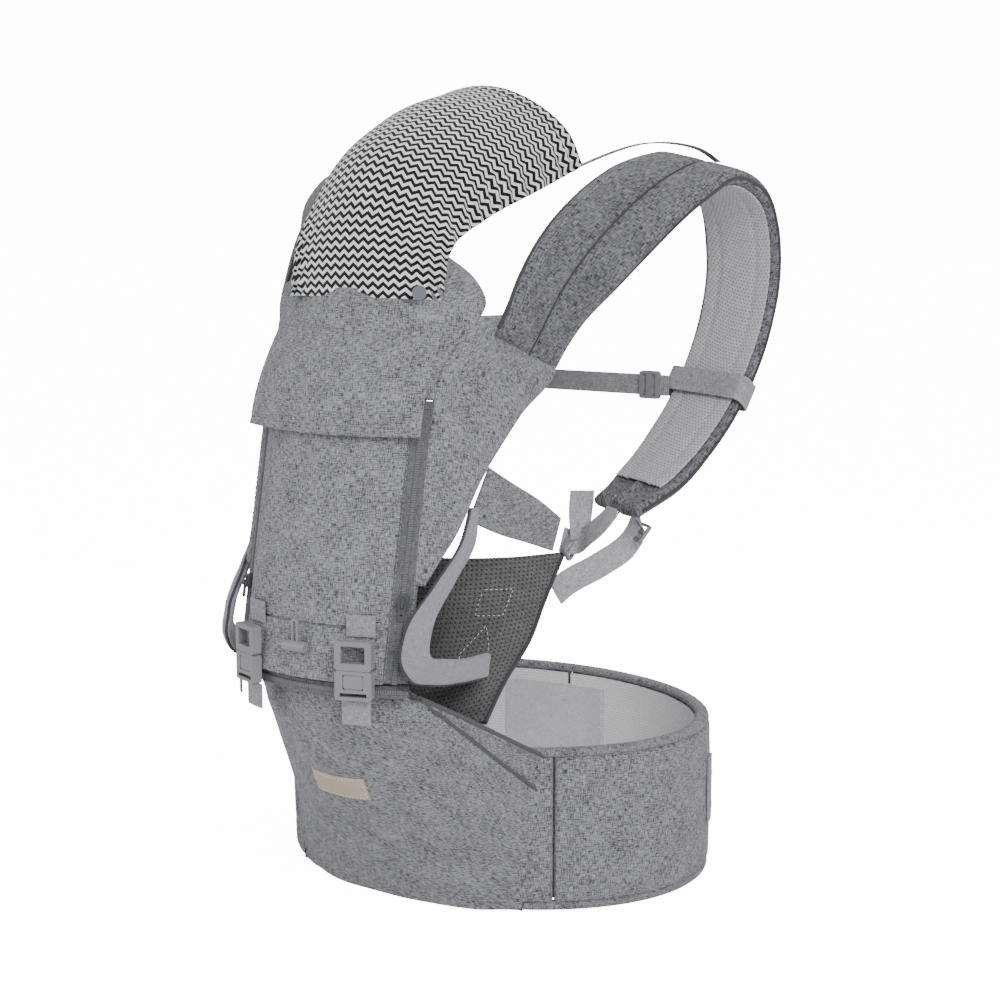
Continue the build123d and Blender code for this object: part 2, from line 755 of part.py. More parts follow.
# ---------------------------------------------------------------- hood
# shares of a rib's half width and of its rise, from one side edge over the crown to the other
arch_shares = ((-1, 0), (-0.9, 0.42), (-0.55, 0.85), (0, 1), (0.55, 0.85), (0.9, 0.42), (1, 0))
# each rib: X, Y and Z where it meets the hood's side edge, then Y and Z at its crown
hood_ribs = (
    ((88, -203, 567), (-228.2, 569)),
    ((93, -204, 611), (-227, 632)),
    ((98, -150, 638), (-190, 700)),
    ((112, -88, 664), (-118, 744)),
    ((125, -38, 686), (-34, 764)),
)
with BuildPart() as hood:
    for (edge_x, edge_y, edge_z), (crown_y, crown_z) in hood_ribs:
        rise = ((crown_y - edge_y) ** 2 + (crown_z - edge_z) ** 2) ** 0.5
        up = Vector(0, (crown_y - edge_y) / rise, (crown_z - edge_z) / rise)
        arch = []
        for x_share, rise_share in arch_shares:
            arch.append((x_share * edge_x, rise_share * rise))
        with BuildSketch(Plane((0, edge_y, edge_z), x_dir=(1, 0, 0), z_dir=Vector(1, 0, 0).cross(up))):
            with BuildLine():
                out_line = Spline(*arch)
                in_line = Spline(*inward(arch, -hood_thick))
                Line(out_line @ 0, in_line @ 0)
                Line(out_line @ 1, in_line @ 1)
            make_face()
    loft()
keep("hood", hood.part)
cap_turn = radians(26)
cap_frame = Plane((76.4, -221.3, 574), z_dir=(sin(cap_turn), -cos(cap_turn), 0.1))
with BuildPart() as snap_cap:
    with BuildSketch(cap_frame):
        Circle(6.5)
    extrude(amount=2.2)
    fillet(snap_cap.edges().group_by(SortBy.LENGTH)[-1], 0.5)
pairs("snap_caps", snap_cap.part)
hood_strap_path = [
    (132.5, -27, 693),
    (142, -10, 700),
    (157, 12, 707),
    (176, 36, 708),
    (194, 58, 702),
    (204, 74, 691),
]
pairs("hood_straps", link(hood_strap_path, (0.83, -0.55, 0), 11))

# ---------------------------------------------------------------- export
reach = [part.bounding_box() for part in finished.values()]
middle = (min(box.min.Y for box in reach) + max(box.max.Y for box in reach)) / 2
for name, part in finished.items():
    placed = Location((0, -middle, 0)) * part
    placed.label = name
    export_step(placed, f"parts/{name}.step")
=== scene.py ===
# %% [markdown]
# # Hip-seat baby carrier
# The looks of a front-worn baby carrier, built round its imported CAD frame. Lengths inside the
# tables are millimetres about the middle of the waist belt; spot() turns them into metres.

# %% Load the frame
import json
import math

import bpy
import numpy as np
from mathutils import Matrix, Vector
from mathutils.bvhtree import BVHTree


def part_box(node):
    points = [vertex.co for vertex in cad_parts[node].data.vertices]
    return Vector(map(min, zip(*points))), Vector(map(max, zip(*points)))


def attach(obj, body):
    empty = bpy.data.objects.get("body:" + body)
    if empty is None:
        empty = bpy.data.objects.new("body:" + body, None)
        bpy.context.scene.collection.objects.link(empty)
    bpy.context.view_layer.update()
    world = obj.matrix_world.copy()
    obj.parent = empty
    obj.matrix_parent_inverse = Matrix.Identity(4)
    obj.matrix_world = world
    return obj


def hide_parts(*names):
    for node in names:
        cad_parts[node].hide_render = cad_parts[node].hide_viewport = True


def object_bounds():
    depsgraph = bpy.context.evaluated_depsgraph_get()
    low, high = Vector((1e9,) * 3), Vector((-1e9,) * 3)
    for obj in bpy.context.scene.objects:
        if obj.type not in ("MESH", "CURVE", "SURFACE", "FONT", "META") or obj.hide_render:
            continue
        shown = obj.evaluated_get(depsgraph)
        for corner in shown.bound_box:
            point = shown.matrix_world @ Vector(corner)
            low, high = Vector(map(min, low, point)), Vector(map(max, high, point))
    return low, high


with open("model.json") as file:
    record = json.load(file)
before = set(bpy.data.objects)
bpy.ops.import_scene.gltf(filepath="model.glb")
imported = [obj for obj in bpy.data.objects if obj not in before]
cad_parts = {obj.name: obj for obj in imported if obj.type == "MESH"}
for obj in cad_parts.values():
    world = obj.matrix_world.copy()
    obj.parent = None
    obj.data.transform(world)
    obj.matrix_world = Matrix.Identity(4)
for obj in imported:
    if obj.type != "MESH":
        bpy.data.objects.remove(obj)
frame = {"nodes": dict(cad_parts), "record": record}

cad_low, cad_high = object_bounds()
belt_low, belt_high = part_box("belt_binding")
BELT_Y = (belt_low[1] + belt_high[1]) / 2
FINE = 1.5

# %% [markdown]
# ## Surfaces
# Every soft piece starts as a dense grid of points on its outer face, made from a few curves.
# cloth() turns a grid into a closed piece of some thickness, with rounded edges, relief on its
# outside, and UVs in metres for the weave.


# %% Curves and grids
def spot(points):
    """Points in millimetres about the belt's middle, as metres in the frame."""
    p = np.asarray(points, float) * 0.001
    return p + np.array((0, BELT_Y, 0))


def hermite(p, t, at):
    """Values at parameters at of a smooth curve through p, which lie at parameters t."""
    m = np.gradient(p, t, axis=0)
    i = np.clip(np.searchsorted(t, at, side="right") - 1, 0, len(t) - 2)
    h = (t[i + 1] - t[i]).reshape((-1,) + (1,) * (p.ndim - 1))
    s = (at - t[i]).reshape((-1,) + (1,) * (p.ndim - 1)) / h
    a, b = (2 * s**3 - 3 * s**2 + 1), (s**3 - 2 * s**2 + s)
    c, d = (-2 * s**3 + 3 * s**2), (s**3 - s**2)
    return a * p[i] + b * h * m[i] + c * p[i + 1] + d * h * m[i + 1]


def even(points, n):
    """n points evenly spaced along a smooth curve through these."""
    p = np.asarray(points, float)
    if len(p) == 2:
        return p[0] + (p[1] - p[0]) * np.linspace(0, 1, n)[:, None]
    t = np.r_[0, np.cumsum(np.linalg.norm(np.diff(p, axis=0), axis=1))]
    dense = hermite(p, t, np.linspace(0, t[-1], 24 * len(p)))
    arc = np.r_[0, np.cumsum(np.linalg.norm(np.diff(dense, axis=0), axis=1))]
    where = np.linspace(0, arc[-1], n)
    return np.stack([np.interp(where, arc, dense[:, k]) for k in range(p.shape[1])], -1)


def grid_through(rows, nu=90, nv=110):
    """A grid of points, in metres, on a smooth surface through rows of control points."""
    p = np.stack([even(row, nu) for row in rows])
    step = np.linalg.norm(np.diff(p, axis=0), axis=2).mean(1)
    t = np.r_[0, np.cumsum(np.maximum(step, 1e-6))]
    if len(rows) == 2:
        s = np.linspace(0, 1, nv)[:, None, None]
        return spot(p[0] + (p[1] - p[0]) * s)
    return spot(hermite(p, t, np.linspace(0, t[-1], nv)))


def arc_lengths(g, axis):
    step = np.linalg.norm(np.diff(g, axis=axis), axis=2)
    zero = np.zeros_like(np.take(step, [0], axis=axis))
    return np.concatenate([zero, np.cumsum(step, axis=axis)], axis=axis)


def unit(v):
    return v / np.maximum(np.linalg.norm(v, axis=-1, keepdims=True), 1e-12)


def grid_normals(g, out):
    """Normals of a grid, turned to the side that the vector or point rule out points to."""
    n = unit(np.cross(np.gradient(g, axis=1), np.gradient(g, axis=0)))
    mid = n[n.shape[0] // 2, n.shape[1] // 2]
    return n if np.dot(mid, out) > 0 else -n


def sample(a, v, u):
    """Bilinear values of array a at fractions v down the rows and u along them."""
    y, x = np.clip(v, 0, 1) * (a.shape[0] - 1), np.clip(u, 0, 1) * (a.shape[1] - 1)
    y0, x0 = np.minimum(y.astype(int), a.shape[0] - 2), np.minimum(x.astype(int), a.shape[1] - 2)
    fy, fx = (y - y0)[..., None], (x - x0)[..., None]
    b = a if a.ndim == 3 else a[..., None]
    top = b[y0, x0] * (1 - fx) + b[y0, x0 + 1] * fx
    low = b[y0 + 1, x0] * (1 - fx) + b[y0 + 1, x0 + 1] * fx
    r = top * (1 - fy) + low * fy
    return r if a.ndim == 3 else r[..., 0]


def groove(x, at, width, depth):
    return -depth * np.exp(-(((x - at) / width) ** 2))


def ripple(s, t, seed, size, height):
    """Soft irregular creases: a few crossed waves of about this size, from a seed."""
    r = np.random.default_rng(seed)
    total = 0
    for _ in range(6):
        a = r.uniform(0, math.pi)
        k = 2 * math.pi / (size * r.uniform(0.7, 1.6))
        total = total + np.sin(k * (s * math.cos(a) + t * math.sin(a)) + r.uniform(0, 6.28)) / 6
    return total * height


class Sheet:
    """A dense grid with its normals, arc lengths and relief, to build on and to sew through."""

    def __init__(self, grid, out, relief=None):
        self.g = grid
        self.n = grid_normals(grid, np.asarray(out, float))
        self.s, self.t = arc_lengths(grid, 1), arc_lengths(grid, 0)
        self.w, self.h = float(self.s[:, -1].mean()), float(self.t[-1].mean())
        self.relief = relief or (lambda s, t, w, h: 0 * s)

    def point(self, v, u, lift=0.0):
        v, u = np.asarray(v, float), np.asarray(u, float)
        s, t = sample(self.s, v, u), sample(self.t, v, u)
        w = sample(self.s, v, np.ones_like(u))
        h = sample(self.t, np.ones_like(v), u)
        n = unit(sample(self.n, v, u))
        rise = self.relief(s, t, w, h) + lift
        return sample(self.g, v, u) + n * np.asarray(rise)[..., None], n, s, t


def new_object(name, verts, faces, uvs=None, smooth=True):
    mesh = bpy.data.meshes.new(name)
    mesh.from_pydata([tuple(v) for v in verts], [], [tuple(int(i) for i in f) for f in faces])
    if uvs is not None:
        layer = mesh.uv_layers.new(name="metres")
        loops = np.empty(len(mesh.loops), int)
        mesh.loops.foreach_get("vertex_index", loops)
        layer.data.foreach_set("uv", np.asarray(uvs, float)[loops].ravel())
    mesh.polygons.foreach_set("use_smooth", [smooth] * len(mesh.polygons))
    mesh.update()
    o = bpy.data.objects.new(name, mesh)
    bpy.context.scene.collection.objects.link(o)
    return o


def steps(length, radius, pitch):
    """Fractions from 0 to 1, close together within radius of the ends and a pitch apart between."""
    n = max(int(round(length / pitch)), 4)
    ends = np.array((0, 0.06, 0.2, 0.42, 0.7)) * min(radius / length, 0.3)
    inner = np.linspace(min(radius / length, 0.3), 1 - min(radius / length, 0.3), n)
    return np.unique(np.r_[ends, inner, 1 - ends])


def cloth(
    name, sheet, thick, material, body="carrier", node=None, edge=None, pitch=0.004, even_rows=False
):
    """A closed piece: its outside is the sheet with its relief, its inside lies thick behind.
    even_rows keeps a printed pattern's rows along the grid, however much the cloth gathers."""
    edge = edge or thick / 2
    us = steps(sheet.w, edge, pitch / FINE)
    vs = steps(sheet.h, edge, pitch / FINE)
    U, V = np.meshgrid(us, vs)
    p, n, s, t = sheet.point(V, U)
    w = sample(sheet.s, V, np.ones_like(U))
    h = sample(sheet.t, np.ones_like(V), U)
    d = np.minimum(np.minimum(s, w - s), np.minimum(t, h - t))
    k = np.clip(1 - d / edge, 0, 1)
    drop = (1 - np.sqrt(np.maximum(1 - k**2, 0)))[..., None] * thick / 2
    back = p - n * thick
    front = p - n * drop
    mid = (p + back) / 2
    rim = d <= 1e-9
    back = back + n * drop
    front[rim] = mid[rim]
    rows, cols = U.shape
    index = np.arange(rows * cols).reshape(rows, cols)
    inner_index = index.copy()
    free = ~rim
    inner_index[free] = rows * cols + np.arange(free.sum())
    verts = np.concatenate([front.reshape(-1, 3), back[free]])
    uv = np.stack([s - w / 2, V * sheet.h], -1) if even_rows else np.stack([s, t], -1)
    uvs = np.concatenate([uv.reshape(-1, 2), uv[free]])
    a, b, c, e = index[:-1, :-1], index[:-1, 1:], index[1:, 1:], index[1:, :-1]
    faces = np.stack([a, b, c, e], -1).reshape(-1, 4)
    i, j = rows // 2, cols // 2
    facing = np.dot(np.cross(p[i, j + 1] - p[i, j], p[i + 1, j] - p[i, j]), n[i, j])
    if facing < 0:
        faces = faces[:, ::-1]
    a, b, c, e = inner_index[:-1, :-1], inner_index[:-1, 1:], inner_index[1:, 1:], inner_index[1:, :-1]
    lower = np.stack([a, b, c, e], -1).reshape(-1, 4)
    if facing >= 0:
        lower = lower[:, ::-1]
    o = new_object(name, verts, np.concatenate([faces, lower]), uvs)
    return dress(o, material, body, node)


def dress(o, material, body="carrier", node=None):
    """Give a piece its material, the CAD body it moves with, and the CAD nodes it stands for."""
    o.data.materials.clear()
    o.data.materials.append(MATERIAL[material])
    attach(o, body)
    if node:
        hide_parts(*([node] if isinstance(node, str) else node))
    return o


def tube(name, path, radius, material, body="carrier", sides=10):
    """A round piping, cord or bar along points in metres."""
    p = np.asarray(path, float)
    tan = unit(np.gradient(p, axis=0))
    up = np.array((0, 0, 1.0)) if abs(tan[0][2]) < 0.9 else np.array((1.0, 0, 0))
    side = unit(np.cross(tan[0], up))
    rings = []
    for i in range(len(p)):
        side = unit(side - tan[i] * np.dot(side, tan[i]))
        other = np.cross(tan[i], side)
        a = np.linspace(0, 2 * math.pi, sides, endpoint=False)
        rings.append(p[i] + radius * (np.cos(a)[:, None] * side + np.sin(a)[:, None] * other))
    verts = np.concatenate(rings)
    faces = []
    for i in range(len(p) - 1):
        for k in range(sides):
            q = (k + 1) % sides
            faces.append((i * sides + k, i * sides + q, (i + 1) * sides + q, (i + 1) * sides + k))
    caps = [tuple(range(sides))[::-1], tuple((len(p) - 1) * sides + k for k in range(sides))]
    return dress(new_object(name, verts, faces + caps), material, body)


def dashes(name, runs, material, body="carrier", length=0.0033, gap=0.0014, radius=0.00042):
    """Sewing thread: short rounded dashes along runs of (points, normals) in metres."""
    verts, faces = [], []
    for p, n in runs:
        arc = np.r_[0, np.cumsum(np.linalg.norm(np.diff(p, axis=0), axis=1))]
        at = np.arange(gap, arc[-1] - length, length + gap)
        for a in at:
            ends = [np.array([np.interp(a + x, arc, p[:, k]) for k in range(3)]) for x in (0, length)]
            m = unit(np.array([np.interp(a + length / 2, arc, n[:, k]) for k in range(3)]))
            d = unit(ends[1] - ends[0])
            c = np.cross(d, m)
            base = len(verts)
            verts += [ends[0] - m * radius, ends[1] - m * radius]
            for x in (0.22, 0.78):
                q = ends[0] + (ends[1] - ends[0]) * x
                for w in (0, 1.05, 2.09, 3.14, 4.7):
                    verts.append(q + radius * (c * math.cos(w) + m * math.sin(w)))
            for k in range(5):
                j = (k + 1) % 5
                faces.append((base + 2 + k, base + 2 + j, base + 7 + j, base + 7 + k))
                faces.append((base, base + 2 + j, base + 2 + k))
                faces.append((base + 1, base + 7 + k, base + 7 + j))
    return dress(new_object(name, verts, faces), material, body)


def line(sheet, corners, n=160, lift=0.0003):
    """Points and normals on a sheet along straight runs between (v, u) corners, as fractions."""
    c = np.asarray(corners, float)
    t = np.linspace(0, len(c) - 1, n)
    v, u = np.interp(t, range(len(c)), c[:, 0]), np.interp(t, range(len(c)), c[:, 1])
    p, nn, _, _ = sheet.point(v, u, lift)
    return p, nn


def inset_line(sheet, inset, sides="lrtb", n=200, lift=0.0003):
    """Runs a fixed distance in from a sheet's left, right, top and bottom edges."""
    a, b = inset / sheet.w, inset / sheet.h
    ends = {
        "l": ((b, a), (1 - b, a)),
        "r": ((b, 1 - a), (1 - b, 1 - a)),
        "t": ((b, a), (b, 1 - a)),
        "b": ((1 - b, a), (1 - b, 1 - a)),
    }
    return [line(sheet, ends[k], n, lift) for k in sides]

# %% [markdown]
# ## Finishes
# The shell is a melange cloth: pale and dark fibres spun together, so each thread changes tone
# along its length. Painting it from an image would blur and repeat, so one node group mixes two
# stretched noises, one along each thread direction, and lifts the threads where they cross.
# Every cloth here has its UVs in metres, so a pitch in the group is a real thread pitch.


# %% Node helpers
def wire(tree, a, b):
    tree.links.new(a, b)


def maths(tree, kind, a, b=None, c=None):
    node = tree.nodes.new("ShaderNodeMath")
    node.operation = kind
    for i, x in enumerate((a, b, c)):
        if x is None:
            continue
        if isinstance(x, (int, float)):
            node.inputs[i].default_value = x
        else:
            wire(tree, x, node.inputs[i])
    return node.outputs[0]


def new_group(name, inputs, outputs):
    """A shader node group with these sockets, and its input and output nodes."""
    g = bpy.data.node_groups.new(name, "ShaderNodeTree")
    for label, kind, value in inputs:
        s = g.interface.new_socket(name=label, in_out="INPUT", socket_type=kind)
        if value is not None:
            s.default_value = value
    for label, kind in outputs:
        g.interface.new_socket(name=label, in_out="OUTPUT", socket_type=kind)
    return g, g.nodes.new("NodeGroupInput"), g.nodes.new("NodeGroupOutput")


def noise(tree, vector, scale, detail=2.0, stretch=None):
    n = tree.nodes.new("ShaderNodeTexNoise")
    n.inputs["Scale"].default_value = scale
    n.inputs["Detail"].default_value = detail
    if stretch:
        m = tree.nodes.new("ShaderNodeMapping")
        m.inputs["Scale"].default_value = stretch
        wire(tree, vector, m.inputs["Vector"])
        vector = m.outputs[0]
    wire(tree, vector, n.inputs["Vector"])
    return n.outputs["Fac"]


def mix_colour(tree, factor, a, b, blend="MIX"):
    n = tree.nodes.new("ShaderNodeMix")
    n.data_type = "RGBA"
    n.blend_type = blend
    for socket, x in ((n.inputs[0], factor), (n.inputs[6], a), (n.inputs[7], b)):
        if hasattr(x, "is_output"):
            wire(tree, x, socket)
        else:
            socket.default_value = x
    return n.outputs[2]


def linear(r, g, b):
    """A colour given as on a screen, 0 to 255, in the linear values that shaders take."""
    return (*[c / 255 / 12.92 if c <= 10 else ((c / 255 + 0.055) / 1.055) ** 2.4 for c in (r, g, b)], 1.0)


def weave_height(tree, uv, pitch):
    """Plain weave: threads rise and dip by turns, a thread's width each way."""
    split = tree.nodes.new("ShaderNodeSeparateXYZ")
    wire(tree, uv, split.inputs[0])
    k = maths(tree, "DIVIDE", math.pi, pitch)
    u = maths(tree, "ABSOLUTE", maths(tree, "SINE", maths(tree, "MULTIPLY", split.outputs[0], k)))
    v = maths(tree, "ABSOLUTE", maths(tree, "SINE", maths(tree, "MULTIPLY", split.outputs[1], k)))
    return maths(tree, "MAXIMUM", u, v)


def build_melange():
    g, i, o = new_group(
        "Melange weave",
        [
            ("Vector", "NodeSocketVector", None),
            ("Dark", "NodeSocketColor", linear(96, 96, 101)),
            ("Light", "NodeSocketColor", linear(190, 190, 196)),
            ("Pitch", "NodeSocketFloat", 0.0009),
        ],
        [("Colour", "NodeSocketColor"), ("Height", "NodeSocketFloat")],
    )
    across = noise(g, i.outputs["Vector"], 1, 3, (170, 1150, 1))
    along = noise(g, i.outputs["Vector"], 1, 3, (1150, 170, 1))
    cloudy = noise(g, i.outputs["Vector"], 40, 2)
    both = maths(g, "ADD", maths(g, "MULTIPLY", across, 0.5), maths(g, "MULTIPLY", along, 0.5))
    both = maths(g, "ADD", both, maths(g, "MULTIPLY", maths(g, "SUBTRACT", cloudy, 0.5), 0.12))
    spread = g.nodes.new("ShaderNodeMapRange")
    spread.inputs["From Min"].default_value = 0.4
    spread.inputs["From Max"].default_value = 0.6
    wire(g, both, spread.inputs["Value"])
    height = weave_height(g, i.outputs["Vector"], i.outputs["Pitch"])
    # The mix leans to the dark yarn where the weave dips: painted shade between the threads, on top of the
    # melange's own tone.
    tone_and_dip_shade = maths(g, "MULTIPLY", spread.outputs[0], maths(g, "ADD", maths(g, "MULTIPLY", height, 0.3), 0.7))
    wire(g, mix_colour(g, tone_and_dip_shade, i.outputs["Dark"], i.outputs["Light"]), o.inputs["Colour"])
    wire(g, maths(g, "ADD", height, maths(g, "MULTIPLY", across, 0.5)), o.inputs["Height"])
    return g


def build_spots():
    """Round dots in staggered rows, as knitted into a spacer mesh or moulded on a grip."""
    g, i, o = new_group(
        "Staggered dots",
        [
            ("Vector", "NodeSocketVector", None),
            ("Pitch", "NodeSocketFloat", 0.004),
            ("Size", "NodeSocketFloat", 0.25),
        ],
        [("Mask", "NodeSocketFloat")],
    )
    split = g.nodes.new("ShaderNodeSeparateXYZ")
    wire(g, i.outputs["Vector"], split.inputs[0])
    u = maths(g, "DIVIDE", split.outputs[0], i.outputs["Pitch"])
    v = maths(g, "DIVIDE", split.outputs[1], i.outputs["Pitch"])
    row = maths(g, "FLOOR", v)
    odd = maths(g, "MULTIPLY", maths(g, "MODULO", maths(g, "ABSOLUTE", row), 2), 0.5)
    fu = maths(g, "SUBTRACT", maths(g, "FRACT", maths(g, "ADD", u, odd)), 0.5)
    fv = maths(g, "SUBTRACT", maths(g, "FRACT", v), 0.5)
    r = maths(g, "SQRT", maths(g, "ADD", maths(g, "MULTIPLY", fu, fu), maths(g, "MULTIPLY", fv, fv)))
    m = g.nodes.new("ShaderNodeMapRange")
    m.inputs["To Min"].default_value = 1
    m.inputs["To Max"].default_value = 0
    wire(g, maths(g, "MULTIPLY", i.outputs["Size"], 0.75), m.inputs["From Min"])
    wire(g, maths(g, "MULTIPLY", i.outputs["Size"], 1.15), m.inputs["From Max"])
    wire(g, r, m.inputs["Value"])
    wire(g, m.outputs[0], o.inputs["Mask"])
    return g


MELANGE = build_melange()
SPOTS = build_spots()
MATERIAL = {}


def place(tree, group, **values):
    n = tree.nodes.new("ShaderNodeGroup")
    n.node_tree = group
    for key, value in values.items():
        if hasattr(value, "is_output"):
            wire(tree, value, n.inputs[key])
        else:
            n.inputs[key].default_value = value
    return n


def start_material(name, roughness, specular=0.35, sheen=0.0):
    """A material with its Principled shader, and its UVs, ready for colour and bump."""
    m = bpy.data.materials.new(name)
    m.use_nodes = True
    b = m.node_tree.nodes["Principled BSDF"]
    b.inputs["Roughness"].default_value = roughness
    b.inputs["Specular IOR Level"].default_value = specular
    b.inputs["Sheen Weight"].default_value = sheen
    b.inputs["Sheen Roughness"].default_value = 0.5
    MATERIAL[name] = m
    return m.node_tree, b, m.node_tree.nodes.new("ShaderNodeTexCoord").outputs["UV"]


def bump(tree, shader, height, distance, strength=0.6):
    n = tree.nodes.new("ShaderNodeBump")
    n.inputs["Distance"].default_value = distance
    n.inputs["Strength"].default_value = strength
    wire(tree, height, n.inputs["Height"])
    wire(tree, n.outputs[0], shader.inputs["Normal"])


def melange(name, dark, light, pitch=0.0009, depth=0.0003, sheen=0.15):
    t, b, uv = start_material(name, 0.92, 0.2, sheen)
    g = place(t, MELANGE, Vector=uv, Dark=linear(*dark), Light=linear(*light), Pitch=pitch)
    wire(t, g.outputs["Colour"], b.inputs["Base Color"])
    bump(t, b, g.outputs["Height"], depth)


def dotted(name, ground, dots, pitch, size, depth, raised=False):
    t, b, uv = start_material(name, 0.9, 0.2, 0.1)
    dark, light = linear(*ground[0]), linear(*ground[1])
    cloth_group = place(t, MELANGE, Vector=uv, Dark=dark, Light=light, Pitch=0.0007)
    g = place(t, SPOTS, Vector=uv, Pitch=pitch, Size=size)
    wire(t, mix_colour(t, g.outputs[0], cloth_group.outputs[0], linear(*dots)), b.inputs["Base Color"])
    h = maths(t, "MULTIPLY", g.outputs[0], 1.0 if raised else -1.0)
    bump(t, b, maths(t, "ADD", h, maths(t, "MULTIPLY", cloth_group.outputs[1], 0.2)), depth)


def ribbed(name, dark, light, pitch=0.0022):
    """Woven webbing or zip tape: fine ribs that run across it, and a tight weave."""
    t, b, uv = start_material(name, 0.75, 0.3, 0.1)
    split = t.nodes.new("ShaderNodeSeparateXYZ")
    wire(t, uv, split.inputs[0])
    g = place(t, MELANGE, Vector=uv, Dark=linear(*dark), Light=linear(*light), Pitch=0.0008)
    wire(t, g.outputs[0], b.inputs["Base Color"])
    rib = maths(t, "ABSOLUTE", maths(t, "SINE", maths(t, "MULTIPLY", split.outputs[1], math.pi / pitch)))
    bump(t, b, maths(t, "ADD", rib, g.outputs[1]), 0.0004)


def moulded(name, colour, roughness=0.42, grain=1400, metallic=0.0):
    """Moulded plastic or plated metal: a fine grain and a little uneven polish."""
    m = bpy.data.materials.new(name)
    m.use_nodes = True
    t, b = m.node_tree, m.node_tree.nodes["Principled BSDF"]
    where = t.nodes.new("ShaderNodeTexCoord").outputs["Object"]
    speck, cloud = noise(t, where, grain, 2), noise(t, where, 60, 3)
    c = linear(*colour)
    low = tuple(x * 0.9 for x in c[:3]) + (1,)
    wire(t, mix_colour(t, cloud, low, c), b.inputs["Base Color"])
    rough = maths(t, "ADD", maths(t, "MULTIPLY", cloud, 0.16), roughness - 0.08)
    wire(t, rough, b.inputs["Roughness"])
    b.inputs["Metallic"].default_value = metallic
    bump(t, b, speck, 0.00008, 0.5)
    MATERIAL[name] = m


melange("melange_fabric", (66, 66, 71), (172, 172, 178))
# A darker copy of the shell cloth: painted shade for the shoulder straps' outer faces.
melange("melange_strap_painted_shade", (44, 44, 49), (142, 142, 148))
# A darker copy of the shell cloth: painted shade, worn by the seat's piping.
melange("melange_painted_seat_shade", (50, 50, 55), (126, 126, 132))
melange("smooth_padding", (134, 132, 142), (160, 158, 168), 0.0006, 0.00015, 0.3)
melange("dark_piping", (52, 52, 56), (92, 92, 97), 0.0006, 0.0002)
melange("thread", (150, 150, 156), (205, 205, 210), 0.0005, 0.0001)
melange("white_thread", (225, 222, 216), (250, 248, 244), 0.0005, 0.0001)
melange("hook_and_loop", (196, 196, 200), (226, 226, 230), 0.0007, 0.0006)
melange("foam", (120, 120, 124), (170, 170, 174), 0.0012, 0.0003)
dotted("mesh_lining", ((78, 78, 79), (112, 112, 113)), (42, 42, 43), 0.0046, 0.2, 0.0007)
dotted("strap_mesh", ((172, 172, 175), (202, 202, 205)), (136, 136, 140), 0.0034, 0.24, 0.0006)
dotted("belt_mesh", ((226, 226, 228), (246, 246, 248)), (204, 204, 207), 0.003, 0.26, 0.0005)
dotted("grip_mesh", ((64, 64, 68), (100, 100, 104)), (42, 42, 45), 0.006, 0.33, 0.0012, True)
ribbed("webbing", (150, 149, 156), (200, 199, 206))
ribbed("webbing_dark", (128, 127, 133), (176, 175, 181))
ribbed("zip_tape", (84, 84, 89), (124, 124, 129), 0.0013)
moulded("buckle_plastic", (140, 139, 144))
moulded("snap_plastic", (112, 118, 131), 0.35)
moulded("zip_metal", (96, 96, 100), 0.34, 900, 0.55)
moulded("coil_nylon", (116, 116, 122), 0.4)

# %% [markdown]
# The hood is printed, or knitted, in black and white chevrons. The zigzag is a triangle wave
# added to the row coordinate; Ping-Pong in a Math node gives the wave and Fract the rows.


# %% Chevron cloth and label leather
def chevron_cloth(row=0.0072, period=0.0108, slope=0.78):
    t, b, uv = start_material("chevron_fabric", 0.85, 0.25, 0.15)
    split = t.nodes.new("ShaderNodeSeparateXYZ")
    wire(t, uv, split.inputs[0])
    wave = maths(t, "PINGPONG", split.outputs[0], period / 2)
    down = maths(t, "ADD", split.outputs[1], maths(t, "MULTIPLY", wave, slope))
    wobble = maths(t, "MULTIPLY", noise(t, uv, 500, 2), 0.0006)
    down = maths(t, "ADD", down, wobble)
    row_part = maths(t, "FRACT", maths(t, "DIVIDE", down, row))
    black = maths(t, "GREATER_THAN", row_part, 0.47)
    g = place(t, MELANGE, Vector=uv, Dark=linear(226, 226, 226), Light=linear(252, 252, 252), Pitch=0.0007)
    ink = place(t, MELANGE, Vector=uv, Dark=linear(8, 8, 9), Light=linear(24, 24, 26), Pitch=0.0007)
    wire(t, mix_colour(t, black, g.outputs[0], ink.outputs[0]), b.inputs["Base Color"])
    bump(t, b, g.outputs[1], 0.0002)


def label_leather():
    t, b, uv = start_material("tan_leather", 0.55, 0.35)
    grain, cloud = noise(t, uv, 1500, 4), noise(t, uv, 120, 3)
    c = mix_colour(t, cloud, linear(190, 172, 150), linear(212, 198, 180))
    wire(t, mix_colour(t, grain, c, linear(176, 158, 136)), b.inputs["Base Color"])
    bump(t, b, grain, 0.00025)


chevron_cloth()
label_leather()
print("finishes:", len(MATERIAL))

# %% [markdown]
# ## Moulded parts
# Buckles, clips, zip sliders and ladder locks are hard parts, so the frame's own meshes show.
# A small bevel catches light on their edges, and each takes its finish from its slot.


# %% Show the hard parts
for part in frame["record"]["subparts"]:
    node = frame["nodes"][part["node"]]
    slot_name = part["material_slot"]
    node.data.materials.clear()
    node.data.materials.append(MATERIAL[slot_name])
    if slot_name in ("buckle_plastic", "snap_plastic", "zip_metal"):
        rounded = node.modifiers.new("soft edges", "BEVEL")
        rounded.width = 0.0006
        rounded.segments = 2
        rounded.limit_method = "ANGLE"
        rounded.angle_limit = math.radians(40)
        rounded.harden_normals = True
        node.data.polygons.foreach_set("use_smooth", [True] * len(node.data.polygons))

# %% [markdown]
# ## Front panel and pocket
# The tall front panel carries a large pocket under a flap, and a hem band where it meets the
# hip seat. The panel bends round the baby, so each height is an arc of the same radius.


# %% Panel curves
PANEL_RADIUS = 169
ZIP_TURN = 32.2
FRONT = (0, -1, 0.1)


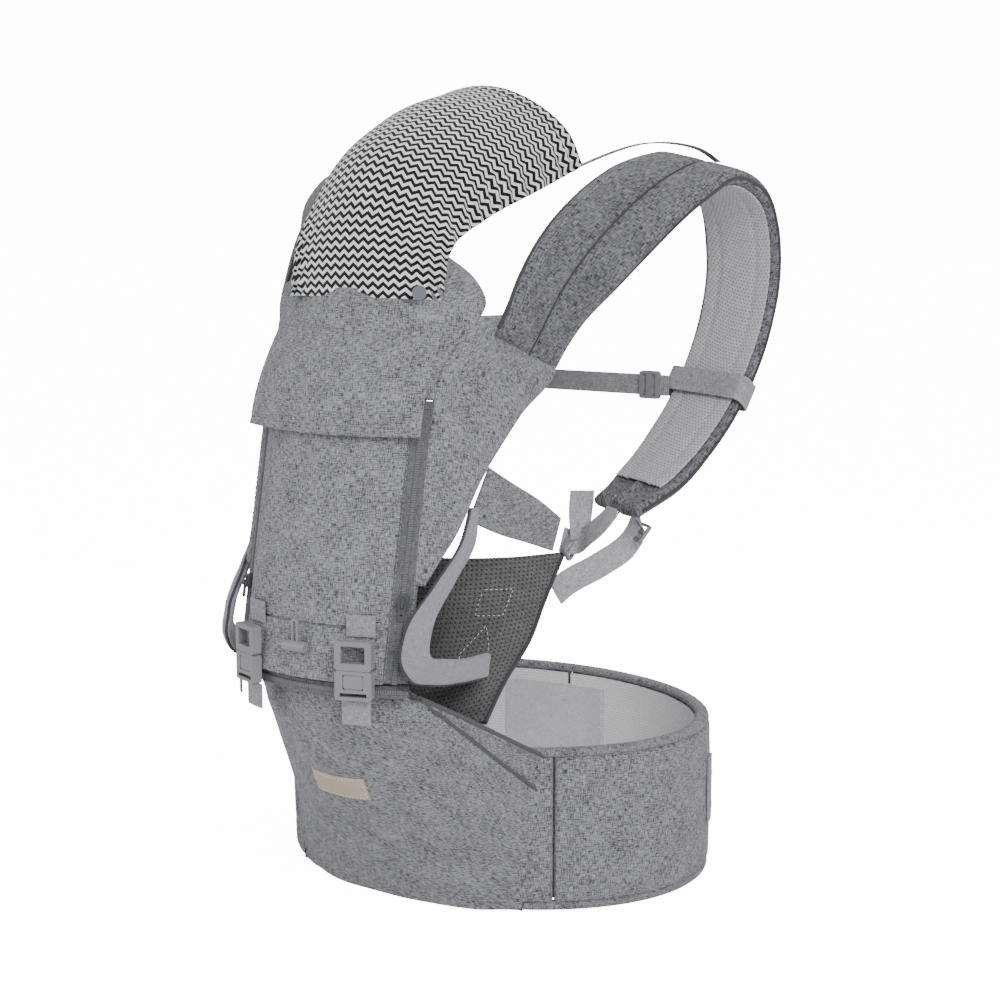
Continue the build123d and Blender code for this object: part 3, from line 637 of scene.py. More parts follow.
def panel_y(z):
    return -272 - PANEL_RADIUS * (1 - math.cos(math.asin(90 / PANEL_RADIUS))) + (z - 262) * 40 / 220


def on_arc(y, stand, turn, z):
    a, r = math.radians(turn), PANEL_RADIUS + stand
    return (r * math.sin(a), y + PANEL_RADIUS - r * math.cos(a), z)


def arc_row(z, stand, half, y=None):
    y = panel_y(z) if y is None else y
    heights = stand if hasattr(stand, "__len__") else (stand,) * 3
    stands = np.interp(np.abs(np.linspace(-1, 1, 13)), (0, 0.75, 1), heights)
    return [on_arc(y, s, t, z) for s, t in zip(stands, np.linspace(-half, half, 13))]


def seam_relief(s, t, w, h):
    top = h - t
    bag = 0.0012 * np.sin(math.pi * np.clip(s / w, 0, 1)) * np.sin(math.pi * np.clip(t / h, 0, 1))
    edges = groove(t, 0.0015, 0.004, 0.001) + groove(top, 0.002, 0.004, 0.0012)
    return bag + ripple(s, t, 4, 0.075, 0.0009) + edges


pocket_stand = ((1.4, 1.4, 1.2), (3.0, 3.6, 1.8), (5.0, 5.8, 2.6), (4.0, 4.4, 2.4), (2.6, 2.8, 1.8))
pocket_rows = [arc_row(z, st, 28.6) for z, st in zip((478, 430, 372, 325, 285), pocket_stand)]
pocket = Sheet(grid_through(pocket_rows), FRONT, seam_relief)
cloth("pocket_front", pocket, 0.0016, "melange_fabric", node="pocket")


def hem_relief(s, t, w, h):
    puckers = 0.0004 * np.sin(s * 2 * math.pi / 0.011 + 3 * np.sin(s * 60))
    puckers = puckers * np.exp(-((t - 0.004) / 0.006) ** 2)
    swell = 0.0012 * np.sin(math.pi * t / h)
    return swell + puckers + groove(t, 0.0075, 0.0012, 0.0008) + ripple(s, t, 5, 0.03, 0.0003)


hem = Sheet(grid_through([arc_row(z, 1.8, 28.5) for z in (283, 262, 236)]), FRONT, hem_relief)
cloth("panel_hem_band", hem, 0.0018, "melange_fabric", node="hem_band")
panel = Sheet(grid_through([arc_row(z, 0, 28.4) for z in (481, 400, 320, 236)]), FRONT)
cloth("panel_shell", panel, 0.0088, "melange_fabric", node="front_panel")
lining = Sheet(grid_through([arc_row(z, -9.2, 27.6) for z in (480, 400, 320, 238)]), (0, 1, 0))
cloth("panel_inner_lining", lining, 0.002, "mesh_lining", node="panel_lining")
hem_stitches = inset_line(hem, 0.006, "t") + inset_line(hem, 0.0095, "t") + inset_line(hem, 0.004, "b")
dashes("hem_stitching", hem_stitches, "thread", radius=0.00032)
pocket_runs = inset_line(pocket, 0.004, "lr") + inset_line(pocket, 0.004, "b")
dashes("pocket_stitching", pocket_runs, "thread", radius=0.0003)

# %% [markdown]
# ## Pocket flap
# The flap folds down over the pocket and flares at its lower corners. It lifts to open the
# pocket, so it is a piece of its own and rides on the flap's body.

# %% Flap
flap_half = 33.6


def flap_relief(s, t, w, h):
    near = np.minimum(s, w - s)
    crown = 0.0022 * np.sin(math.pi * np.clip(t / h, 0, 1)) ** 0.8
    crown = crown + 0.009 * np.exp(-near / 0.022) * np.clip(t / h, 0, 1) ** 2
    seams = groove(near, 0.006, 0.0014, 0.0006) + groove(h - t, 0.007, 0.0014, 0.0006)
    return crown + ripple(s, t, 9, 0.06, 0.0007) + seams


flap_line = ((541, -237.8), (512, -252.2), (482, -263.2), (450, -269.4))
flap_rows = [arc_row(z, (4.2, 4.2, 4.4), flap_half, y) for z, y in flap_line]
flap = Sheet(grid_through(flap_rows), FRONT, flap_relief)
cloth("pocket_flap_shell", flap, 0.0034, "melange_fabric", "flap", "pocket_flap")
flap_runs = inset_line(flap, 0.006, "lrb") + inset_line(flap, 0.0095, "b")
dashes("flap_stitching", flap_runs, "thread", "flap", radius=0.0003)

# %% [markdown]
# ## Head support and side wings
# Above the flap a padded head support stands up to the hood. The side wings close the sides
# from the zips to the shoulder straps. Both are soft foam inside the same melange cloth.


# %% Padding relief
def padded_relief(crown, seed, seams=(), size=0.08):
    def relief(s, t, w, h):
        u, v = np.clip(s / w, 0, 1), np.clip(t / h, 0, 1)
        swell = crown * (np.sin(math.pi * u) * np.sin(math.pi * v)) ** 0.5
        total = swell + ripple(s, t, seed, size, crown * 0.35)
        near = np.minimum(np.minimum(s, w - s), np.minimum(t, h - t))
        for inset in seams:
            total = total + groove(near, inset, 0.0014, 0.0009)
        return total

    return relief


def both(name):
    return [(f"{name}_left", 1), (f"{name}_right", -1)]


def mirrored(rows, side):
    return [[(side * x, y, z) for x, y, z in row] for row in rows]


head_edges = (
    (482.4, -258, 97.6, -227),
    (512, -249, 104, -211),
    (541, -236, 112, -194),
    (566, -225, 120, -180),
    (590, -217.5, 104, -179),
    (606, -213, 84, -187),
)
head_rows = []
for z, y, ex, ey in head_edges:
    inner = [on_arc(y - 2.5, 0, turn, z) for turn in (0, 8, 16, 24)]
    side = inner[1:] + [(ex, ey - 2.5, z)]
    head_rows.append([(-x, yy, zz) for x, yy, zz in side[::-1]] + [inner[0]] + side)
head = Sheet(grid_through(head_rows), FRONT, padded_relief(0.002, 21, (0.007,)))
head_piece = cloth("head_support_pad", head, 0.0065, "melange_fabric", node="head_support")
dashes("head_support_stitching", inset_line(head, 0.007, "lrb"), "thread", radius=0.0003)

wing_edges = (
    (322, None, (104.5, -251), 0.2),
    (340, None, (109.5, -238.5), 0.6),
    (359, None, (114.5, -223.5), 1),
    (409, None, (122, -193), 2),
    (463, None, (130, -145), 3),
    (505, (98, -221), (135, -97), 3),
    (535, (106, -202), (134, -140), 1.5),
    (554, (115, -187), (132.5, -156), 0.5),
)
wing_front_turn = ZIP_TURN + 2.3
WINGS = {}
for name, side in both("side_wing"):
    rows = []
    for z, front, back, crown in wing_edges:
        x0, y0, _ = on_arc(panel_y(z), 0, wing_front_turn, z) if front is None else (*front, z)
        x1, y1 = back
        across = unit(np.array((y0 - y1, x1 - x0)))
        across = across if across[0] > 0 else -across
        mids = [(x0 + (x1 - x0) * k, y0 + (y1 - y0) * k) for k in (0, 0.25, 0.5, 0.75, 1)]
        rise = [2.6 + crown * math.sin(math.pi * k) for k in (0, 0.25, 0.5, 0.75, 1)]
        rows.append([(side * (x + across[0] * r), y + across[1] * r, z) for (x, y), r in zip(mids, rise)])
    wing = Sheet(grid_through(rows), (side, -0.5, 0), padded_relief(0.0022, 31, (0.007,), 0.06))
    WINGS[side] = wing
    cloth(name + "_pad", wing, 0.006, "melange_fabric", node=name)
    dashes(name + "_stitching", inset_line(wing, 0.007, "lr"), "thread", radius=0.0003)

# %% [markdown]
# ## Hip seat
# The baby sits on a foam block under a fitted cover. Its wall leans outwards to a rim, and the
# top slopes down to the belt. A rectangular anti-slip mat is sewn to the top and a blank leather
# label to the front.

# %% Seat
SEAT_LEVELS = (
    (0, 183, 92, 168, 132, -146),
    (60, 212, 90, 190, 146, -133),
    (125, 250, 88, 217, 153, -125),
    (190, 282, 88, 246, 152, -122),
    (252, 291, 88, 260, 150, -122),
)
TOP_SLOPE = math.tan(math.radians(31))


def seat_outline(front, half, shoulder, seam_x, seam_y):
    points = [(-seam_x, seam_y), (-half, -shoulder), (0, -front), (half, -shoulder), (seam_x, seam_y)]
    return even(points, 61)


def seat_top(y):
    return 240 - (y + 283) * TOP_SLOPE


def seat_level(z):
    heights, *columns = zip(*SEAT_LEVELS)
    return seat_outline(*[np.interp(z, heights, column) for column in columns])


def seat_wall():
    """The wall's grid: every column runs from the floor to where the sloping top cuts it."""
    rows = []
    for k in np.linspace(0, 1, 60):
        row = []
        for i in range(61):
            z = 200.0
            for _ in range(12):
                z = 0.5 * z + 0.5 * seat_top(seat_level(z)[i][1])
            x, y = seat_level(1.5 + (z - 1.5) * k)[i]
            row.append((x, y, 1.5 + (z - 1.5) * k))
        rows.append(row)
    return spot(rows)


wall_grid = seat_wall()


def wall_relief(s, t, w, h):
    u = s / w
    fold = 0.0016 * np.exp(-(((u - 0.86) / 0.05) ** 2)) * np.sin(t * 62 + 8 * u)
    fold = fold + 0.0016 * np.exp(-(((u - 0.14) / 0.05) ** 2)) * np.sin(t * 57 - 6 * u)
    rim = groove(h - t, 0.009, 0.0018, 0.0013) + groove(t, 0.010, 0.0016, 0.0011)
    pocket_side = groove(np.abs(u - 0.5) * w, 0.155, 0.0016, 0.0015)
    return fold + rim + pocket_side + ripple(s, t, 12, 0.09, 0.0013)


wall = Sheet(wall_grid, (0, -1, 0.2), wall_relief)
wall.n = -grid_normals(wall_grid, (0, 1, 0)) if wall.n[30, 30][1] > 0 else wall.n
cloth("seat_cover_wall", wall, 0.004, "melange_fabric", node=["seat_cover", "seat_core"])

rim_row = wall_grid[-1] * 1000 - np.array((0, BELT_Y * 1000, 0))


def belt_edge(x):
    """The front of the belt, where the seat's top meets it."""
    return -181.5 * math.sqrt(max(1 - (x / 222.5) ** 2, 0.01)) + 0.5


top_rows = []
for k in np.linspace(0, 1, 9):
    row = []
    for x, y, z in rim_row[::4]:
        x1 = x * 0.97
        y1 = max(belt_edge(x1), y + 1)
        yy = y + (y1 - y) * k
        row.append((x + (x1 - x) * k, yy, seat_top(yy) - 0.6))
    top_rows.append(row)


def top_relief(s, t, w, h):
    dip = -0.0015 * np.sin(math.pi * s / w)
    return dip + groove(t, 0.008, 0.0018, 0.0012) + ripple(s, t, 14, 0.07, 0.0012)


seat_top_sheet = Sheet(grid_through(top_rows, 90, 90), (0, 0, 1), top_relief)
cloth("seat_cover_top", seat_top_sheet, 0.003, "melange_fabric")
seat_stitches = inset_line(wall, 0.006, "b") + inset_line(wall, 0.013, "b") + inset_line(wall, 0.013, "t")
dashes("seat_rim_stitching", seat_stitches, "thread", radius=0.00032)
dashes("seat_top_stitching", inset_line(seat_top_sheet, 0.012, "t"), "thread", radius=0.0003)
rim_cord, _ = line(wall, ((1, 0.0), (1, 1.0)), 200, 0.0002)
# The seat's piping wears the darker copy of the shell cloth, painted shade.
tube("seat_rim_piping", rim_cord, 0.0021, "melange_painted_seat_shade")
for end_name, u in (("left", 1.0), ("right", 0.0)):
    seam_cord, _ = line(wall, ((0.0, u), (1.0, u)), 90, 0.0)
    tube("seat_side_piping_" + end_name, seam_cord, 0.0012, "melange_painted_seat_shade")
    pocket_line, _ = line(wall, ((1.0, 0.5 + (u - 0.5) * 0.42), (0.74, u)), 120, 0.0006)
    tube("seat_pocket_edge_" + end_name, pocket_line, 0.0016, "melange_painted_seat_shade")
    below = line(wall, ((0.97, 0.5 + (u - 0.5) * 0.42), (0.71, u)))
    dashes("seat_pocket_stitching_" + end_name, [below], "thread")


# %% [markdown]
# The mat and the label lie on the cover, so their grids are laid on it by casting rays at it.

# %% Mat and label
def tree_of(*names):
    graph = bpy.context.evaluated_depsgraph_get()
    verts, faces = [], []
    for name in names:
        o = bpy.data.objects[name]
        base = len(verts)
        verts += [v.co.copy() for v in o.data.vertices]
        faces += [tuple(i + base for i in p.vertices) for p in o.data.polygons]
    return BVHTree.FromPolygons(verts, faces)


def laid_on(tree, corners_mm, direction, lift=0.0006, n=40):
    """A grid whose rays, along direction, land on a surface."""
    c = spot(corners_mm)
    a = np.linspace(0, 1, n)
    d = Vector(direction).normalized()
    g = np.zeros((n, n, 3))
    for i, v in enumerate(a):
        for j, u in enumerate(a):
            p = (c[0] * (1 - u) + c[1] * u) * (1 - v) + (c[3] * (1 - u) + c[2] * u) * v
            hit = tree.ray_cast(Vector(p) - d * 0.08, d)[0]
            g[i, j] = (hit - d * lift) if hit else p
    return g


top_tree = tree_of("seat_cover_top")
mat_plan = ((-100, -272), (100, -272), (92, -196), (-92, -196))
mat_corners = [(x, y, seat_top(y)) for x, y in mat_plan]
mat_grid = laid_on(top_tree, mat_corners, (0, 0, -1), 0.0016)
seat_mat = Sheet(mat_grid, (0, 0, 1), padded_relief(0.0008, 7, (0.005,)))
cloth("seat_grip_mat", seat_mat, 0.0016, "grip_mesh", node="seat_mat")
dashes("seat_mat_stitching", inset_line(seat_mat, 0.004), "thread", radius=0.0003)

wall_tree = tree_of("seat_cover_wall")
label_y = -251
label_corners = [(-31, label_y, 134.5), (31, label_y, 134.5), (31, label_y, 109.5), (-31, label_y, 109.5)]
label_grid = laid_on(wall_tree, label_corners, (0, 1, 0.25), 0.0012, 24)
label = Sheet(label_grid, FRONT)
cloth("blank_leather_label", label, 0.0018, "tan_leather", node="label_patch", edge=0.0005, pitch=0.002)
dashes("label_stitching", inset_line(label, 0.0022, n=60), "white_thread", length=0.0026, radius=0.00042)

# %% [markdown]
# ## Waist belt
# The belt is a wide padded band on an ellipse, bound along both edges and lined with mesh. The
# seat hides its front. Each run is a grid round the ellipse by bearing, measured from the front.


# %% Belt runs
BELT_X, BELT_DEPTH, BELT_TALL = 222, 181, 157


def belt_point(bearing, z, inward=0.0):
    """A point on the belt's outer face; bearing 0 is the wearer's left and -90 the front."""
    a = math.radians(bearing)
    x, y = BELT_X * math.cos(a), BELT_DEPTH * math.sin(a)
    nx, ny = x / BELT_X**2, y / BELT_DEPTH**2
    size = math.hypot(nx, ny)
    return (x - inward * nx / size, y - inward * ny / size, z)


def belt_run(start, end, low, high, stand=0.0, levels=7):
    turns = np.linspace(start, end, 60)
    return [[belt_point(a, z, -stand) for a in turns] for z in np.linspace(high, low, levels)]


def belt_relief(seed):
    def relief(s, t, w, h):
        near = np.minimum(t, h - t)
        pad = 0.0022 * np.sin(math.pi * np.clip(t / h, 0, 1)) ** 0.6
        pucker = 0.0005 * np.sin(s * 2 * math.pi / 0.014 + 3 * np.sin(s * 37))
        pucker = pucker * np.exp(-(((near - 0.012) / 0.008) ** 2))
        seams = groove(near, 0.017, 0.0015, 0.001) + groove(t, h * 0.36, 0.0014, 0.0008)
        seams = seams + groove(t, h * 0.66, 0.0014, 0.0008)
        return pad + pucker + seams + ripple(s, t, seed, 0.085, 0.0011)

    return relief


BELT_RUNS = (
    ("belt_wing_left", -44.8, 96.8, "belt_wing_left", 41),
    ("belt_wing_right", 97.2, 224.8, "belt_wing_right", 43),
    ("belt_front", -134.8, -45.2, "belt_front_panel", 45),
)
for name, start, end, node, seed in BELT_RUNS:
    run = Sheet(grid_through(belt_run(start, end, 8, 149), 200, 60), (0, 0, 0), belt_relief(seed))
    middle = run.g[30, 100] - np.array((0, BELT_Y, 0.08))
    run.n = grid_normals(run.g, middle)
    piece = cloth(name + "_pad", run, 0.0112, "melange_fabric", node=node, pitch=0.005)
    runs = inset_line(run, 0.0165, "tb", 500) + inset_line(run, 0.004, "tb", 500)
    dashes(name + "_stitching", runs, "thread", radius=0.0003)

full_turn = np.linspace(97.4, 456.6, 240)
belt_lining_rows = [[belt_point(a, z, 12.2) for a in full_turn] for z in (147, 110, 60, 10)]
inside = Sheet(grid_through(belt_lining_rows, 300, 40), (0, 0, 0))
inside.n = grid_normals(inside.g, np.array((0, BELT_Y, 0.08)) - inside.g[20, 150])


def quilt(s, t, w, h):
    return 0.0006 * np.abs(np.sin(s * math.pi / 0.05)) + ripple(s, t, 51, 0.08, 0.0006)


inside.relief = quilt
cloth("belt_inner_mesh", inside, 0.0012, "belt_mesh", node="belt_lining", pitch=0.005)

for end_name, z in (("top", BELT_TALL - 5.4), ("bottom", 5.4)):
    bead = []
    for k in np.linspace(0, 2 * math.pi, 15):
        rise, depth = 4.6 * math.sin(k), 6.4 + 7.0 * math.cos(k)
        bead.append([belt_point(a, z + rise, depth) for a in np.linspace(-180, 180, 241)])
    g = spot(bead)
    binding = new_object(
        "belt_binding_" + end_name,
        g[:-1].reshape(-1, 3),
        [
            (i * 241 + j, i * 241 + j + 1, ((i + 1) % 14) * 241 + j + 1, ((i + 1) % 14) * 241 + j)
            for i in range(14)
            for j in range(240)
        ],
        np.stack(
            [np.tile(np.linspace(0, 1.27, 241), 14), np.repeat(np.linspace(0, 0.037, 14), 241)],
            -1,
        ),
    )
    dress(binding, "melange_fabric", "carrier", "belt_binding" if end_name == "top" else None)

# %% [markdown]
# Webbing, tabs and the ladder locks carry the belt's pull. They are thin and nearly flat, so
# each takes the CAD strip's own shape with a fine ribbed weave.


# %% Straps of webbing laid by stations
def strip_rows(stations, bulge=0.0):
    """Rows across a strip: each station is (centre, across, width)."""
    rows = []
    for centre, across, width in stations:
        c, a = np.array(centre, float), unit(np.array(across, float))
        rows.append([tuple(c + a * width * k) for k in (-0.5, -0.25, 0, 0.25, 0.5)])
    return rows


def webbing_strip(name, stations, out, thick, material="webbing", body="carrier", node=None, mirror=1):
    rows = mirrored(strip_rows(stations), mirror)
    length = sum(np.linalg.norm(np.subtract(a[0], b[0])) for a, b in zip(stations, stations[1:])) * 0.001
    strip = Sheet(grid_through(rows, 24, max(int(length / 0.004), 12)), (out[0] * mirror, out[1], out[2]))
    strip.g = strip.g + strip.n * thick / 2
    cloth(name, strip, thick, material, body, node, pitch=0.0035)
    return strip


back_web = [[belt_point(a, z, -4.2) for a in np.linspace(15, 88, 40)] for z in (98, 78, 59)]
for name, side in both("belt_webbing"):
    web = Sheet(grid_through(mirrored(back_web, side), 90, 12), (0, 1, 0))
    cloth(name, web, 0.0016, "webbing_dark", node="belt_webbings")
    dashes(name + "_stitching", inset_line(web, 0.003, "tb"), "thread", radius=0.0003)

# %% [markdown]
# ## Leg bands
# Smooth padded bands run round each leg opening, from the wing down past the seat. They are
# softer and paler than the shell, so they have a cloth of their own.

# %% Leg bands
LEG_EDGES = (
    ((119, -206, 386), (121.5, -197, 386)),
    ((118, -218.5, 357), (122.5, -203.5, 355)),
    ((110, -248, 320), (121, -228, 325)),
    ((102, -280, 278), (118, -259, 285)),
    ((102, -283, 257), (118, -263, 266)),
    ((104, -272, 241), (117, -256, 259)),
    ((107, -250, 234), (115, -243, 256)),
    ((111, -214, 229), (116, -212, 251)),
    ((115, -176, 228), (118, -176, 250)),
)
for name, side in both("leg_band"):
    rows = []
    for outer, inner in LEG_EDGES:
        a, b = np.array(outer, float), np.array(inner, float)
        rows.append([(side * p[0], p[1], p[2]) for p in (a + (b - a) * k for k in (0, 0.25, 0.5, 0.75, 1))])
    sheet = Sheet(grid_through(rows, 50, 130), (side, 0, 0), padded_relief(0.0018, 61, (), 0.03))
    sheet.g = sheet.g + sheet.n * 0.0045
    node = "leg_bands" if side > 0 else None
    band = cloth(name + "_pad", sheet, 0.009, "smooth_padding", node=node, pitch=0.003)
    edge_line, _ = line(sheet, ((0.0, 0.0), (1.0, 0.0)), 160, -0.003)
    tube(name + "_piping", edge_line, 0.0013, "dark_piping")

# %% [markdown]
# ## Inner mesh
# Behind the leg openings a dotted spacer mesh closes the inside down to the belt. It is edged
# with dark piping and sewn with a diamond and a rectangle where straps are anchored.

# %% Inner mesh
INNER = (
    (184.5, (0, -187.5), (60, -185.5), (96, -180), (113, -175)),
    (218, (0, -175), (60, -173), (96, -163), (115, -147)),
    (250, (0, -169), (60, -162), (98, -140), (119, -115)),
    (285, (0, -167), (60, -156), (98, -127), (120, -91)),
    (327, (0, -165), (60, -150), (100, -108), (121, -60)),
)


def inner_rows(stand):
    rows = []
    for z, *points in INNER[::-1]:
        right = [(-x, y + stand, z) for x, y in points[::-1]]
        rows.append(right[:-1] + [(x, y + stand, z) for x, y in points])
    return rows


mesh_grid = grid_through(inner_rows(0), 140, 80)
mesh_sheet = Sheet(mesh_grid, (0, -1, 0), padded_relief(0.0015, 71, (0.006,), 0.05))
cloth("inner_spacer_mesh", mesh_sheet, 0.0022, "mesh_lining", node="inner_mesh")
back_grid = mesh_sheet.g - mesh_sheet.n * 0.0074
back_sheet = Sheet(back_grid, (0, 1, 0), padded_relief(0.0004, 73, (0.007,), 0.06))
cloth("inner_panel_pad", back_sheet, 0.0048, "melange_fabric", node="inner_panel")
for side in (-1, 1):
    centre = 0.5 + side * 0.33
    diamond = [(0.42, centre), (0.6, centre + 0.05), (0.78, centre), (0.6, centre - 0.05), (0.42, centre)]
    near, far = centre - 0.045, centre + 0.045
    box_corners = [(0.2, near), (0.2, far), (0.36, far), (0.36, near), (0.2, near)]
    name = "left" if side > 0 else "right"
    dashes("mesh_diamond_" + name, [line(mesh_sheet, diamond)], "white_thread", radius=0.0003)
    dashes("mesh_box_" + name, [line(mesh_sheet, box_corners)], "white_thread", radius=0.0003)
    edge_line, _ = line(mesh_sheet, ((0, 0.5 + side * 0.5), (1, 0.5 + side * 0.5)), 120, 0.0)
    tube("mesh_edge_piping_" + name, edge_line, 0.0019, "dark_piping")

# %% [markdown]
# ## Side tabs and shoulder straps
# A tapered tab joins each wing to its shoulder strap, which rises over the shoulder and comes
# down again under the arm. A strap has a foam core, a dark seam along its middle and a pale
# perforated lining on the wearer's side.

# %% Straps
TAB = (
    ((110.6, -181, 395), (0, 0.55, 0.83), 54),
    ((116, -150, 379), (0, 0.5, 0.87), 50),
    ((118.5, -106, 361), (0, 0.42, 0.91), 42),
    ((120, -72, 345), (0, 0.42, 0.91), 33),
)
STRAP = (
    ((127, -135, 519), (0, 0.84, -0.55), 90),
    ((135, -126, 541), (0, 0.84, -0.55), 92),
    ((147, -112, 574), (0.2, 0.75, -0.62), 88),
    ((172, -76, 624), (0.57, 0.40, -0.70), 84),
    ((197, -18, 668), (0.87, 0.12, -0.48), 82),
    ((208, 38, 683), (0.97, 0, -0.22), 80),
    ((211, 93, 656), (1, 0, -0.05), 80),
    ((207, 120, 600), (1, 0, 0), 80),
    ((202, 116, 540), (1, 0, 0), 80),
    ((196, 84, 478), (1, 0, 0), 80),
    ((190, 36, 428), (1, 0, 0), 78),
    ((181, -12, 392), (1, 0, 0), 72),
    ((171, -50, 372), (1, 0, 0), 56),
)


def strap_frames(n=120):
    """Centres, across, lining side and widths along a shoulder strap, as the CAD solid has them."""
    centres = even([c for c, _, _ in STRAP], n)
    t = np.r_[0, np.cumsum([np.linalg.norm(np.subtract(b[0], a[0])) for a, b in zip(STRAP, STRAP[1:])])]
    at = np.linspace(0, t[-1], n)
    across = hermite(np.array([unit(np.array(a, float)) for _, a, _ in STRAP]), t, at)
    width = np.interp(at, t, [w for _, _, w in STRAP])
    along = unit(np.gradient(centres, axis=0))
    across = unit(across - along * np.sum(across * along, 1, keepdims=True))
    return centres, across, np.cross(along, across), width


def strap_grid(stand, narrower, start=0.0, end=1.0, n=120, side=1):
    centres, across, lining_side, width = strap_frames(n)
    keep = slice(int(start * n), int(end * n))
    k = np.linspace(-0.5, 0.5, 25)[None, :, None]
    spread = across[keep, None] * (width[keep, None, None] - narrower) * k
    g = (centres + lining_side * stand)[keep, None] + spread
    g = g * np.array((side, 1, 1))
    return spot(g)


def strap_relief(s, t, w, h):
    u = s / w
    swell = 0.0022 * np.sin(math.pi * np.clip(u, 0, 1)) ** 0.6
    seam = groove(s, w * 0.5, 0.003, 0.0034)
    near = np.minimum(s, w - s)
    return swell + seam + groove(near, 0.007, 0.0012, 0.0007) + ripple(s, t, 81, 0.07, 0.0009)


def lining_relief(s, t, w, h):
    near = np.minimum(s, w - s)
    swell = 0.0014 * np.sin(math.pi * np.clip(s / w, 0, 1))
    return swell + groove(near, 0.014, 0.0016, 0.0014) + ripple(s, t, 83, 0.05, 0.0006)


for name, side in both("shoulder_strap"):
    outer_grid = strap_grid(-7.0, 1, side=side)
    centres, across, lining_side, _ = strap_frames(120)
    out = -lining_side[60] * np.array((side, 1, 1))
    outer = Sheet(outer_grid, out, strap_relief)
    # The strap's outer face wears the darker copy of the shell cloth, painted shade.
    piece = cloth(name + "_pad", outer, 0.0142, "melange_strap_painted_shade", node=name, edge=0.006)
    dashes(name + "_stitching", inset_line(outer, 0.007, "lr", 500), "thread", radius=0.0003)
    seam_line, _ = line(outer, ((0.0, 0.5), (1.0, 0.5)), 260, 0.0008)
    tube(name + "_middle_seam", seam_line, 0.0009, "dark_piping")
    inner_grid = strap_grid(9.6, 12, 0.12, 0.95, side=side)
    inner = Sheet(inner_grid, -out, lining_relief)
    under = "strap_lining_" + name.split("_")[-1]
    cloth(under + "_mesh", inner, 0.0024, "strap_mesh", node=under)
    dashes(under + "_stitching", inset_line(inner, 0.014, "lr", 500), "thread", radius=0.0003)
    for end_name, u in (("a", 0.0), ("b", 1.0)):
        piping_line, _ = line(outer, ((0.01, u), (0.99, u)), 260, -0.0065)
        tube(f"{name}_piping_{end_name}", piping_line, 0.0017, "dark_piping")

for name, side in both("side_tab"):
    tab = webbing_strip(
        name + "_cloth", TAB, (1, 0, 0), 0.0042, "melange_fabric", node="side_tabs", mirror=side
    )
    dashes(name + "_stitching", inset_line(tab, 0.004, "lr"), "thread", radius=0.0003)

# %% [markdown]
# ## Sun hood
# One sheet of chevron cloth arches over the baby's head. Ribs of points give the arch, and the
# cloth gathers a little at each side where elastic pulls it in.

# %% Hood
HOOD_RIBS = (
    ((88, -203, 567), (-228.2, 569)),
    ((90, -192, 611), (-224, 632)),
    ((98, -150, 638), (-190, 700)),
    ((112, -88, 664), (-118, 744)),
    ((125, -38, 686), (-34, 764)),
)
ARCH = ((1, 0), (0.88, 0.37), (0.52, 0.8), (0, 1))


def hood_rows():
    rows = []
    for (ex, ey, ez), (cy, cz) in HOOD_RIBS[::-1]:
        left = [(ex * a, ey + (cy - ey) * b, ez + (cz - ez) * b) for a, b in ARCH]
        rows.append([(-x, y, z) for x, y, z in left] + left[-2::-1])
    return rows


def hood_relief(s, t, w, h):
    side = np.minimum(s, w - s)
    gather = 0.0028 * np.sin(t * 2 * math.pi / 0.017 + 2.2 * np.sin(t * 55))
    gather = gather * np.exp(-((side / 0.035) ** 1.5))
    hem = groove(t, 0.012, 0.0014, 0.0011) + groove(h - t, 0.008, 0.0014, 0.0009)
    sag = -0.0022 * np.sin(math.pi * np.clip(t / h, 0, 1)) * np.sin(math.pi * s / w)
    return gather + hem + sag + ripple(s, t, 91, 0.11, 0.0024)


hood = Sheet(grid_through(hood_rows(), 220, 160), (0, 0, 1), hood_relief)
hood.n = grid_normals(hood.g, (0, -0.6, 1))
hood_cloth = cloth(
    "sun_hood_cloth", hood, 0.0018, "chevron_fabric", "sun_hood", "hood", pitch=0.003, even_rows=True
)
dashes("hood_hem_stitching", inset_line(hood, 0.011, "t", 400), "dark_piping", "sun_hood", radius=0.0003)

HOOD_STRAP = (
    (122, -40, 686),
    (132.5, -27, 693),
    (142, -10, 700),
    (157, 12, 707),
    (176, 36, 708),
    (194, 58, 702),
    (204, 74, 691),
)
for name, side in both("hood_strap"):
    stations = [(p, (0.83, -0.55, 0), 11) for p in HOOD_STRAP]
    node = "hood_straps"
    webbing_strip(name + "_cloth", stations, (0, 0, 1), 0.0016, "melange_fabric", node=node, mirror=side)

# %% [markdown]
# ## Zips
# Each side zip is a tape with a nylon coil along its middle. The coil is a row of small teeth
# made by a loop, so it turns light and dark as a real one does.


# %% Zip tapes and coils
def coil(name, path, out, body="carrier", pitch=0.0021, wide=0.0052):
    """Teeth of a nylon coil: short tapered bars across the zip."""
    p = np.asarray(path, float)
    arc = np.r_[0, np.cumsum(np.linalg.norm(np.diff(p, axis=0), axis=1))]
    at = np.arange(0, arc[-1], pitch)
    centres = np.stack([np.interp(at, arc, p[:, k]) for k in range(3)], -1)
    along = unit(np.gradient(centres, axis=0))
    n = unit(np.broadcast_to(out, centres.shape) - along * np.sum(along * out, -1, keepdims=True))
    side = np.cross(along, n)
    verts, faces = [], []
    box = [(x, y, z) for x in (-0.5, 0.5) for y in (-0.36, 0.36) for z in (0.0, 1.0)]
    for c, a, m, s in zip(centres, along, n, side):
        base = len(verts)
        for x, y, z in box:
            taper = 1.0 if z == 0 else 0.72
            verts.append(c + s * x * wide * taper + a * y * pitch + m * (z * 0.0013))
        for f in ((0, 1, 3, 2), (4, 6, 7, 5), (0, 4, 5, 1), (2, 3, 7, 6), (1, 5, 7, 3), (0, 2, 6, 4)):
            faces.append([base + k for k in f])
    return dress(new_object(name, verts, faces, smooth=False), "coil_nylon", body)


